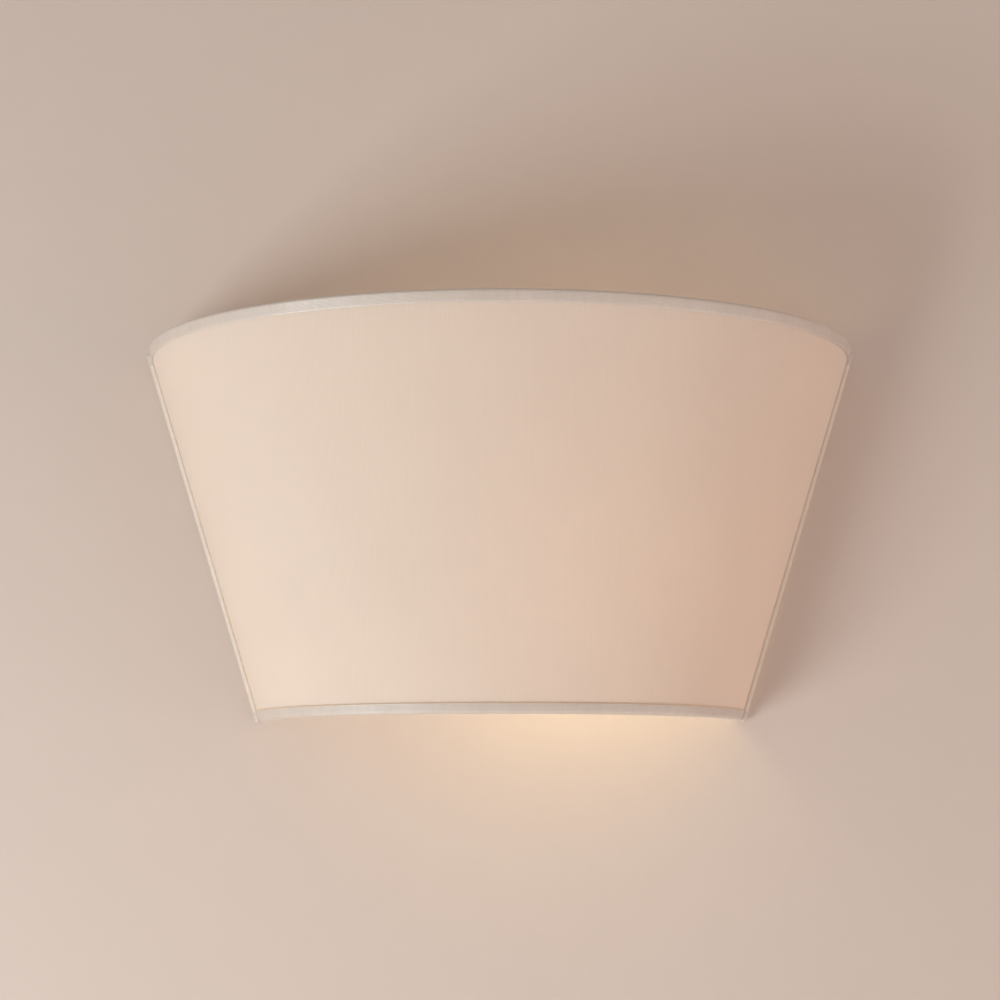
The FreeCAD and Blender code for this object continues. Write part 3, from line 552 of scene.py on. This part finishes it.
def ramp_along(tree, coordinate, axis, start, end):
    """Runs from 0 to 1 between two places on one axis of a coordinate."""
    split = tree.nodes.new("ShaderNodeSeparateXYZ")
    tree.links.new(tree.nodes["Texture Coordinate"].outputs[coordinate], split.inputs[0])
    return ramp(tree, split.outputs[axis], start, end)


def relief(tree, height, shader, distance, strength):
    """A Bump node from a height, feeding the shader's normal."""
    node = tree.nodes.new("ShaderNodeBump")
    node.location = (50, -300)
    node.inputs["Distance"].default_value = distance
    node.inputs["Strength"].default_value = strength
    tree.links.new(height, node.inputs["Height"])
    tree.links.new(node.outputs["Normal"], shader.inputs["Normal"])


def mix_shaders(tree, share, first, second, output):
    """Sends a mix of two shaders to the output; share is a number or a socket."""
    node = tree.nodes.new("ShaderNodeMixShader")
    node.location = (600, 0)
    if isinstance(share, float):
        node.inputs[0].default_value = share
    else:
        tree.links.new(share, node.inputs[0])
    tree.links.new(first.outputs[0], node.inputs[1])
    tree.links.new(second.outputs[0], node.inputs[2])
    tree.links.new(node.outputs[0], tree.nodes[output].inputs["Surface"])


def effect_material(name, group, coordinate, colours, rough, bump, **values):
    """A material whose colour, roughness and relief come from a shared effect.

    colours and rough are (low, high) pairs for the effect's mask, bump is (distance, strength)
    for its height, and values go to its inputs.
    """
    material, tree, shader = new_material(name)
    effect = place_effect(tree, group, coordinate, **values)
    mask = effect.outputs["Mask"]
    if colours:
        tree.links.new(blend_colours(tree, mask, *colours), shader.inputs["Base Color"])
    tree.links.new(ramp(tree, mask, 0.25, 0.75, *rough), shader.inputs["Roughness"])
    if bump:
        relief(tree, effect.outputs["Height"], shader, *bump)
    return material, tree, shader


def let_light_through(tree, shader, colour, share):
    """Mixes in a Translucent shader, so that the lamp inside shows through a thin sheet."""
    passing = tree.nodes.new("ShaderNodeBsdfTranslucent")
    passing.location = (300, -350)
    passing.inputs["Color"].default_value = (*colour, 1.0)
    tree.nodes["Material Output"].location = (800, 0)
    mix_shaders(tree, share, shader, passing, "Material Output")


def cloth_material(colours, sizes):
    material, tree, shader = effect_material(
        "ribbed shade cloth", shared_effect("rib cloth", make_rib_cloth, sizes.rib_pitch), "UV",
        tones(colours.cloth, 0.93, 1.045), (0.86, 0.74), (0.00012, 0.7), Slub=0.45)
    shader.inputs["Specular IOR Level"].default_value = 0.25
    shader.inputs["Sheen Weight"].default_value = 0.12
    shader.inputs["Sheen Roughness"].default_value = 0.45
    let_light_through(tree, shader, colour=(0.93, 0.64, 0.44), share=0.16)
    return material


def lining_material(colours):
    material, tree, shader = effect_material(
        "translucent lining", fine_grain(), "Object", tones(colours.lining, 0.96, 1.03),
        (0.50, 0.62), (0.00004, 0.4), Scale=1100.0)
    let_light_through(tree, shader, colour=(0.95, 0.80, 0.66), share=0.18)
    return material


def tape_material(colour, name, pucker):
    material, _, shader = effect_material(
        name, shared_effect("satin tape", make_satin_tape), "UV", tones(colour, 0.82, 1.09),
        (0.50, 0.32), (0.00038, 0.9), Pucker=pucker)
    shader.inputs["Specular IOR Level"].default_value = 0.95
    shader.inputs["Sheen Weight"].default_value = 0.15
    shader.inputs["Sheen Roughness"].default_value = 0.3
    return material


def stitch_edge(material, colour, edge_z):
    """Draws the row of stitches along a tape's upper edge into its colour."""
    row_low, row_high, stitch_pitch = edge_z - 0.00085, edge_z - 0.00015, 0.0012
    tree = material.node_tree
    base = tree.nodes["Principled BSDF"].inputs["Base Color"]
    row = ramp_along(tree, "UV", "Y", row_low, row_high)
    teeth = bands(tree, tree.nodes["Texture Coordinate"].outputs["UV"], "X", stitch_pitch, 0.4)
    teeth = add_math(tree, "ADD", add_math(tree, "MULTIPLY", teeth, 0.5), 0.3)
    mask = add_math(tree, "MULTIPLY", row, teeth, clamp=True)
    tree.links.new(blend_colours(tree, mask, base.links[0].from_socket, colour), base)


def seam_material(colours):
    return effect_material("seam thread", fine_grain(), "Object", tones(colours.seam, 0.8, 1.2),
                           (0.75, 0.9), (0.0001, 0.5), Scale=2400.0)[0]


def grained_material(name, colour, rough, scale=1500.0, bump=0.00003, contrast=0.08, coat=0.0):
    """Paint, moulded plastic, ceramic or rubber."""
    material, _, shader = effect_material(
        name, fine_grain(), "Object", tones(colour, 1 - contrast, 1 + contrast * 0.6), rough,
        (bump, 0.5), Scale=scale)
    shader.inputs["Coat Weight"].default_value = coat
    shader.inputs["Coat Roughness"].default_value = 0.2
    return material


def metal_material(name, colour, rough, scale=900.0, bump=0.00002, contrast=0.12):
    """Plated, bare or tinned metal."""
    material, _, shader = effect_material(
        name, drawn_metal(), "Object", tones(colour, 1 - contrast, 1 + contrast), rough,
        (bump, 0.5), Scale=scale)
    shader.inputs["Metallic"].default_value = 1.0
    return material


def earth_insulation_material():
    """Green insulation with a yellow stripe that winds along the wire."""
    green, yellow, stripe_pitch = (0.02, 0.19, 0.04), (0.82, 0.68, 0.03), 0.004
    material, tree, shader = effect_material(
        "striped earth insulation", fine_grain(), "Object", None, (0.38, 0.5), (0.00002, 0.4),
        Scale=1800.0)
    place = tree.nodes["Texture Coordinate"].outputs["Object"]
    stripes = ramp(tree, bands(tree, place, "DIAGONAL", stripe_pitch), 0.5, 0.56)
    tree.links.new(blend_colours(tree, stripes, green, yellow), shader.inputs["Base Color"])
    return material


def lit_glass_material(colours):
    """Frosted glass lit from inside, brightest at the neck and a little dimmer at the tip."""
    material, tree, shader = effect_material(
        "lit frosted glass", fine_grain(), "Object", ((0.90, 0.88, 0.84), (0.96, 0.94, 0.90)),
        (0.32, 0.42), (0.00002, 0.3), Scale=2500.0)
    neck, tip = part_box("bulb_glass")
    along = ramp_along(tree, "Object", "X", neck.x, tip.x)
    tree.links.new(blend_colours(tree, along, *tones(colours.lamp_glow, 1.0, 0.85)),
                   shader.inputs["Emission Color"])
    shader.inputs["Emission Strength"].default_value = colours.lamp_strength
    return material


def clear_glass_material():
    material, _, shader = effect_material(
        "clear stem glass", fine_grain(), "Object", ((0.90, 0.93, 0.92), (0.97, 0.98, 0.98)),
        (0.03, 0.08), None, Scale=400.0)
    shader.inputs["Transmission Weight"].default_value = 0.9
    return material


def dress(material, slot):
    """Gives every CAD node of a material slot its finish."""
    for name in nodes_by_slot[slot]:
        mesh = frame["nodes"][name].data
        mesh.materials.clear()
        mesh.materials.append(material)


# ---------------------------------------------------------------- operators
class WALLLIGHT_OT_shade_cloth(bpy.types.Operator):
    """Stretch the ribbed cloth and its lining over the shade's form"""

    bl_idname = "walllight.shade_cloth"
    bl_label = "Shade Cloth and Lining"

    def execute(self, context):
        sizes, colours = context.scene.shade_sizes, context.scene.light_colours
        rows, lining_inset = 16, 0.0008
        for name, node, inset, material in (
                ("shade_cloth", "shade_fabric", 0.0, cloth_material(colours, sizes)),
                ("shade_lining_sheet", "shade_lining", lining_inset, lining_material(colours))):
            profile = [(sizes.bottom_z + sizes.height * i / rows, inset) for i in range(rows + 1)]
            piece = rim_band(sizes, name, profile, sizes.cloth_end_y)
            face_outwards(piece, sizes)
            lay_flat(piece, sizes, sector=True)
            smooth(piece)
            finish_piece(piece, material, "shade", [node])
        return {"FINISHED"}


class WALLLIGHT_OT_rim_tapes(bpy.types.Operator):
    """Fold the satin tape over the top and bottom rims"""

    bl_idname = "walllight.rim_tapes"
    bl_label = "Rim Tapes"

    def execute(self, context):
        sizes, colours = context.scene.shade_sizes, context.scene.light_colours
        top_z = sizes.bottom_z + sizes.height
        for name, node, up, edge_z, height, pucker in (
                ("top_tape", "top_trim", 1, top_z, sizes.top_tape_height, 0.5),
                ("bottom_tape", "bottom_trim", -1, sizes.bottom_z, sizes.bottom_tape_height, 0.8)):
            tape = self.folded_tape(sizes, name, up, edge_z, height)
            crest_z, leg_z = edge_z + up * sizes.tape_crest, edge_z - up * height
            sleeves = [side_round(sizes, "tape_end", side,
                                  sizes.roll_radius + sizes.tape_thickness / 3,
                                  min(crest_z, leg_z), max(crest_z, leg_z), rounded_end=up)
                       for side in (-1, 1)]
            tape = join(name, *sleeves, tape)
            lay_flat(tape, sizes, sector=False)
            smooth(tape, 50)
            material = tape_material(colours.tape, name.replace("_", " ") + " satin", pucker)
            if up < 0:
                stitch_edge(material, colours.seam, leg_z)
            finish_piece(tape, material, "shade", [node])
        return {"FINISHED"}

    @staticmethod
    def folded_tape(sizes, name, up, edge_z, height):
        """The tape's skin from the outer leg over the crest to the inner leg, then its thickness.

        up is 1 for a tape folded over the top rim and -1 for one under the bottom rim.
        """
        face, inner = -sizes.tape_crest, sizes.tape_inner_inset
        crest_z, leg_z = edge_z + up * sizes.tape_crest, edge_z - up * height
        fold_radius, fold_steps = 0.0017, 5
        turned_edge, drawn_down = 0.0003, 0.0008
        profile = [(leg_z, face + sizes.tape_edge_turn),
                   (edge_z - up * (height - turned_edge), face + sizes.tape_edge_turn * 0.4),
                   (edge_z - up * (height - drawn_down), face)]
        profile += [(edge_z - up * height * share, face) for share in (0.65, 0.42)]
        angles = [math.pi / 2 * i / fold_steps for i in range(fold_steps + 1)]
        profile += [(crest_z - up * fold_radius * (1 - math.sin(angle)),
                     face + fold_radius * (1 - math.cos(angle))) for angle in angles]
        profile += [(crest_z - up * fold_radius * (1 - math.cos(angle)),
                     inner - fold_radius * (1 - math.sin(angle))) for angle in angles]
        profile += [(edge_z - up * sizes.inner_tape_height * share, inner) for share in (0.6, 1.0)]
        tape = rim_band(sizes, name, profile, sizes.cloth_end_y)
        face_outwards(tape, sizes, lambda centre: inset_of(sizes, centre) < (face + inner) / 2)
        edge_wander, edge_lift, wander_scale = 0.00013, 0.00005, 420
        for vertex in tape.data.vertices:
            if abs(vertex.co.z - leg_z) < turned_edge and inset_of(sizes, vertex.co) < 0:
                place = vertex.co * wander_scale
                vertex.co.z += up * edge_wander * noise.noise(place)
                vertex.co.y -= edge_lift * (1 + noise.noise(place + Vector((7, 3, 1))))
        apply_modifier(tape, "SOLIDIFY", thickness=sizes.tape_thickness * 0.9, offset=-1.0)
        return tape


class WALLLIGHT_OT_side_bindings(bpy.types.Operator):
    """Roll the edge tape round the side wires and lay the seams beside it"""

    bl_idname = "walllight.side_bindings"
    bl_label = "Side Bindings"

    def execute(self, context):
        sizes, colours = context.scene.shade_sizes, context.scene.light_colours
        material = tape_material(colours.edge_tape, "rolled edge tape", 0.35)
        thread = seam_material(colours)
        low_z = sizes.bottom_z + sizes.bottom_tape_height
        high_z = sizes.bottom_z + sizes.height - sizes.top_tape_height
        for side, label in ((-1, "left"), (1, "right")):
            name = "side_binding_" + label
            roll = self.roll(sizes, name, side, low_z, high_z)
            leg = self.leg(sizes, side, low_z, high_z)
            binding = join(name, leg, roll)
            lay_flat(binding, sizes, sector=False)
            smooth(binding, 50)
            finish_piece(binding, material, "shade", ["side_trim_" + label])
            seam = self.seam(sizes, "side_seam_" + label, side, low_z, high_z)
            finish_piece(seam, thread, "shade")
        return {"FINISHED"}

    @staticmethod
    def roll(sizes, name, side, low_z, high_z):
        """The tape's roll round the side wire, a little uneven along its length."""
        cuts, evenness, across_scale, along_scale = 60, 0.97, 300, 130
        roll = side_round(sizes, name, side, sizes.roll_radius, low_z, high_z)
        select_edges(roll, runs_upright)
        bpy.ops.mesh.subdivide(number_cuts=cuts)
        bpy.ops.object.mode_set(mode="OBJECT")
        for vertex in roll.data.vertices:
            centre = side_line(sizes, side, vertex.co.z)
            away = vertex.co - centre
            place = Vector((away.x * across_scale, away.y * across_scale,
                            vertex.co.z * along_scale))
            swell = evenness + (1 - evenness) * noise.noise(place)
            vertex.co = centre + away * min(swell, 1.0)
        return roll

    @staticmethod
    def leg(sizes, side, low_z, high_z):
        """The tape's flat leg, which runs in from the roll behind the lining."""
        inset, reach, thickness = 0.00168, 0.006, 0.0004
        leg = rim_band(sizes, "leg", [(low_z, inset), (high_z, inset)], sizes.roll_y,
                       front_y=sizes.cloth_end_y - reach)
        select_only(leg)
        bpy.ops.object.mode_set(mode="EDIT")
        bpy.ops.mesh.select_all(action="SELECT")
        bpy.ops.mesh.bisect(plane_co=(0, 0, 0), plane_no=(-side, 0, 0), clear_outer=True)
        bpy.ops.object.mode_set(mode="OBJECT")
        face_outwards(leg, sizes)
        apply_modifier(leg, "SOLIDIFY", thickness=thickness, offset=1.0)
        return leg

    @staticmethod
    def seam(sizes, name, side, low_z, high_z):
        """A fine thread in the crease between the cloth and the roll, in short stitches."""
        radius, cuts, stitch_length, neck = 0.00036, 240, 0.0028, 0.62
        shift = Vector((-side * 0.00085, -0.00245, 0))
        thread, _ = side_cylinder(sizes, side, radius, low_z, high_z, vertices=10, shift=shift)
        settle(thread, name)
        select_edges(thread, runs_upright)
        bpy.ops.mesh.subdivide(number_cuts=cuts)
        bpy.ops.object.mode_set(mode="OBJECT")
        for vertex in thread.data.vertices:
            centre = side_line(sizes, side, vertex.co.z) + shift
            bulge = abs(math.sin(vertex.co.z * math.pi / stitch_length))
            vertex.co = centre + (vertex.co - centre) * (neck + (1 - neck) * bulge)
        smooth(thread, 60)
        return thread


class WALLLIGHT_OT_shade_wires(bpy.types.Operator):
    """Finish the shade's coated wire frame"""

    bl_idname = "walllight.shade_wires"
    bl_label = "Shade Wires"

    def execute(self, context):
        dress(grained_material("coated frame wire", (0.80, 0.78, 0.73), (0.34, 0.48), 1300.0,
                               0.00004, coat=0.2), "frame_wire")
        return {"FINISHED"}


class WALLLIGHT_OT_wall_fitting(bpy.types.Operator):
    """Finish the mounting bar, the pan, the bracket and their screws"""

    bl_idname = "walllight.wall_fitting"
    bl_label = "Wall Fitting"

    def execute(self, context):
        dress(metal_material("zinc plated steel", (0.60, 0.61, 0.62), (0.28, 0.45)), "zinc_steel")
        dress(grained_material("powder coated steel", (0.80, 0.79, 0.76), (0.36, 0.50), 1700.0,
                               0.00005), "pan_paint")
        return {"FINISHED"}


class WALLLIGHT_OT_lampholder(bpy.types.Operator):
    """Finish the lampholder's mouldings, ceramic and contacts"""

    bl_idname = "walllight.lampholder"
    bl_label = "Lampholder"

    def execute(self, context):
        dress(grained_material("moulded holder plastic", (0.80, 0.79, 0.75), (0.30, 0.42), 2200.0,
                               0.00002), "holder_plastic")
        dress(grained_material("holder ceramic", (0.84, 0.83, 0.79), (0.16, 0.30), 900.0, 0.00003,
                               coat=0.5), "holder_ceramic")
        dress(metal_material("bare brass", (0.72, 0.53, 0.25), (0.25, 0.42)), "contact_brass")
        return {"FINISHED"}


class WALLLIGHT_OT_wiring(bpy.types.Operator):
    """Finish the terminal block, the grommet and the wires"""

    bl_idname = "walllight.wiring"
    bl_label = "Wiring"

    def execute(self, context):
        dress(grained_material("terminal block plastic", (0.74, 0.77, 0.78), (0.35, 0.5)),
              "terminal_plastic")
        dress(grained_material("grommet rubber", (0.03, 0.03, 0.03), (0.6, 0.8), 2000.0, 0.00006,
                               0.2), "grommet_rubber")
        for name, colour, slot in (
                ("brown insulation", (0.14, 0.055, 0.025), "live_insulation"),
                ("blue insulation", (0.03, 0.13, 0.42), "neutral_insulation")):
            dress(grained_material(name, colour, (0.38, 0.52), 1800.0, 0.00002), slot)
        dress(earth_insulation_material(), "earth_insulation")
        dress(metal_material("tinned brass", (0.68, 0.68, 0.67), (0.3, 0.5)), "tinned_tag")
        return {"FINISHED"}


class WALLLIGHT_OT_bulb(bpy.types.Operator):
    """Light the frosted bulb and finish its cap and inner parts"""

    bl_idname = "walllight.bulb"
    bl_label = "Bulb"

    def execute(self, context):
        dress(lit_glass_material(context.scene.light_colours), "frosted_glass")
        dress(metal_material("nickelled bulb cap", (0.72, 0.71, 0.68), (0.2, 0.36)), "cap_nickel")
        dress(grained_material("black cap glass", (0.012, 0.012, 0.014), (0.05, 0.14), 700.0,
                               0.00002, 0.2), "cap_insulation")
        dress(metal_material("solder", (0.55, 0.55, 0.55), (0.3, 0.5), 500.0, 0.0001), "solder")
        dress(clear_glass_material(), "clear_glass")
        dress(metal_material("coil wire", (0.45, 0.42, 0.38), (0.3, 0.5)), "filament")
        return {"FINISHED"}


class WALLLIGHT_OT_stage(bpy.types.Operator):
    """Set the wall and floor, the studio lights and the camera"""

    bl_idname = "walllight.stage"
    bl_label = "Studio Stage"

    def execute(self, context):
        stage = self.wall_and_floor()
        stage.data.materials.append(self.wall_material(context.scene.light_colours))
        self.lights(context.scene)
        self.world(context.scene)
        self.camera(context.scene)
        context.scene.view_settings.view_transform = "Standard"
        return {"FINISHED"}

    @staticmethod
    def wall_and_floor():
        """One swept sheet: the wall, a wide curve and the floor."""
        bpy.ops.object.select_all(action="DESELECT")
        bpy.ops.mesh.primitive_plane_add(size=1.0, location=(0, 0, 0))
        stage = bpy.context.object
        bpy.ops.object.mode_set(mode="EDIT")
        bpy.ops.mesh.select_all(action="SELECT")
        bpy.ops.mesh.delete(type="ONLY_FACE")
        bpy.ops.object.mode_set(mode="OBJECT")
        for vertex in stage.data.vertices:
            vertex.co = Vector((math.copysign(wall_half_width, vertex.co.x), 0, wall_top_z))
        bpy.ops.object.mode_set(mode="EDIT")
        bpy.ops.mesh.select_all(action="SELECT")
        bpy.ops.mesh.remove_doubles(threshold=0.001)
        bpy.ops.mesh.select_all(action="SELECT")
        angles = [math.pi / 2 * i / sweep_steps for i in range(sweep_steps + 1)]
        places = [(-sweep_radius * (1 - math.cos(angle)),
                   floor_z + sweep_radius * (1 - math.sin(angle))) for angle in angles]
        last = (0, wall_top_z)
        for place in places + [(floor_front_y, floor_z)]:
            bpy.ops.mesh.extrude_region_move(
                TRANSFORM_OT_translate={"value": (0, place[0] - last[0], place[1] - last[1])})
            last = place
        bpy.ops.mesh.select_all(action="SELECT")
        bpy.ops.mesh.normals_make_consistent(inside=False)
        bpy.ops.object.mode_set(mode="OBJECT")
        wall_face = max(stage.data.polygons, key=lambda face: face.center.z)
        if wall_face.normal.y > 0:
            bpy.ops.object.mode_set(mode="EDIT")
            bpy.ops.mesh.flip_normals()
            bpy.ops.object.mode_set(mode="OBJECT")
        smooth(settle(stage, "studio_wall"), 60)
        return stage

    @staticmethod
    def wall_material(colours):
        """Matt paint, paler on the floor, that is clear from behind and throws no shadow."""
        material, tree, shader = new_material("studio wall")
        effect = place_effect(tree, fine_grain(), "Object", Scale=260.0)
        paint = blend_colours(tree, effect.outputs["Mask"], *tones(colours.wall, 0.985, 1.015))
        level = ramp_along(tree, "Object", "Z", floor_z + sweep_radius,
                           floor_z + sweep_radius * 0.2)
        tree.links.new(blend_colours(tree, level, paint, colours.floor),
                       shader.inputs["Base Color"])
        shader.inputs["Roughness"].default_value = 0.95
        shader.inputs["Specular IOR Level"].default_value = 0.1
        see_through = tree.nodes.new("ShaderNodeBsdfTransparent")
        geometry = tree.nodes.new("ShaderNodeNewGeometry")
        rays = tree.nodes.new("ShaderNodeLightPath")
        behind = add_math(tree, "MAXIMUM", geometry.outputs["Backfacing"],
                          rays.outputs["Is Shadow Ray"])
        mix_shaders(tree, behind, shader, see_through, "Material Output")
        return material

    @staticmethod
    def lights(scene):
        """The key from the lower left, a fill from the lower right and a lamp behind the wall."""
        for name, place, side, power, colour in studio_lamps:
            data = bpy.data.lights.new(name, "AREA")
            data.shape = "RECTANGLE"
            data.size = data.size_y = side
            data.energy = power
            data.color = colour
            lamp = bpy.data.objects.new(name, data)
            scene.collection.objects.link(lamp)
            lamp.location = place
            aim = Vector((0, 0, 0)) - Vector(place)
            lamp.rotation_euler = aim.to_track_quat("-Z", "Y").to_euler()

    @staticmethod
    def world(scene):
        """A plain world that lights at its own level and shows white to the camera."""
        world = bpy.data.worlds.new("studio")
        scene.world = world
        world.use_nodes = True
        tree = world.node_tree
        light = tree.nodes["Background"]
        light.inputs["Color"].default_value = world_colour
        light.inputs["Strength"].default_value = 1.0
        shown = tree.nodes.new("ShaderNodeBackground")
        shown.inputs["Color"].default_value = (1.0, 1.0, 1.0, 1.0)
        rays = tree.nodes.new("ShaderNodeLightPath")
        seen = add_math(tree, "MAXIMUM", rays.outputs["Is Camera Ray"],
                        rays.outputs["Is Transmission Ray"])
        mix_shaders(tree, seen, light, shown, "World Output")

    @staticmethod
    def camera(scene):
        data = bpy.data.cameras.new("camera")
        data.sensor_width = 36.0
        data.lens = camera_lens
        data.clip_start, data.clip_end = 0.05, 20.0
        camera = bpy.data.objects.new("camera", data)
        scene.collection.objects.link(camera)
        camera.location = camera_place
        camera.rotation_euler = [math.radians(turn) for turn in camera_turn]
        scene.camera = camera


class WALLLIGHT_PT_panel(bpy.types.Panel):
    """Lists the steps that build the wall light"""

    bl_label = "Wall Light"
    bl_idname = "WALLLIGHT_PT_panel"
    bl_space_type = "VIEW_3D"
    bl_region_type = "UI"
    bl_category = "Wall Light"

    def draw(self, context):
        for operator in build_order:
            self.layout.operator(operator.bl_idname)
        for group in (context.scene.shade_sizes, context.scene.light_colours):
            column = self.layout.column(align=True)
            for name in group.bl_rna.properties.keys():
                if name not in {"rna_type", "name"}:
                    column.prop(group, name)


build_order = (
    WALLLIGHT_OT_stage,
    WALLLIGHT_OT_shade_cloth,
    WALLLIGHT_OT_rim_tapes,
    WALLLIGHT_OT_side_bindings,
    WALLLIGHT_OT_shade_wires,
    WALLLIGHT_OT_wall_fitting,
    WALLLIGHT_OT_lampholder,
    WALLLIGHT_OT_wiring,
    WALLLIGHT_OT_bulb,
)
classes = (ShadeSizes, LightColours) + build_order + (WALLLIGHT_PT_panel,)


def register():
    for cls in classes:
        bpy.utils.register_class(cls)
    bpy.types.Scene.shade_sizes = PointerProperty(type=ShadeSizes)
    bpy.types.Scene.light_colours = PointerProperty(type=LightColours)


def unregister():
    del bpy.types.Scene.light_colours
    del bpy.types.Scene.shade_sizes
    for cls in reversed(classes):
        bpy.utils.unregister_class(cls)


def main():
    register()
    bpy.ops.walllight.stage()
    bpy.ops.walllight.shade_cloth()
    bpy.ops.walllight.rim_tapes()
    bpy.ops.walllight.side_bindings()
    bpy.ops.walllight.shade_wires()
    bpy.ops.walllight.wall_fitting()
    bpy.ops.walllight.lampholder()
    bpy.ops.walllight.wiring()
    bpy.ops.walllight.bulb()


if __name__ == "__main__":
    main()
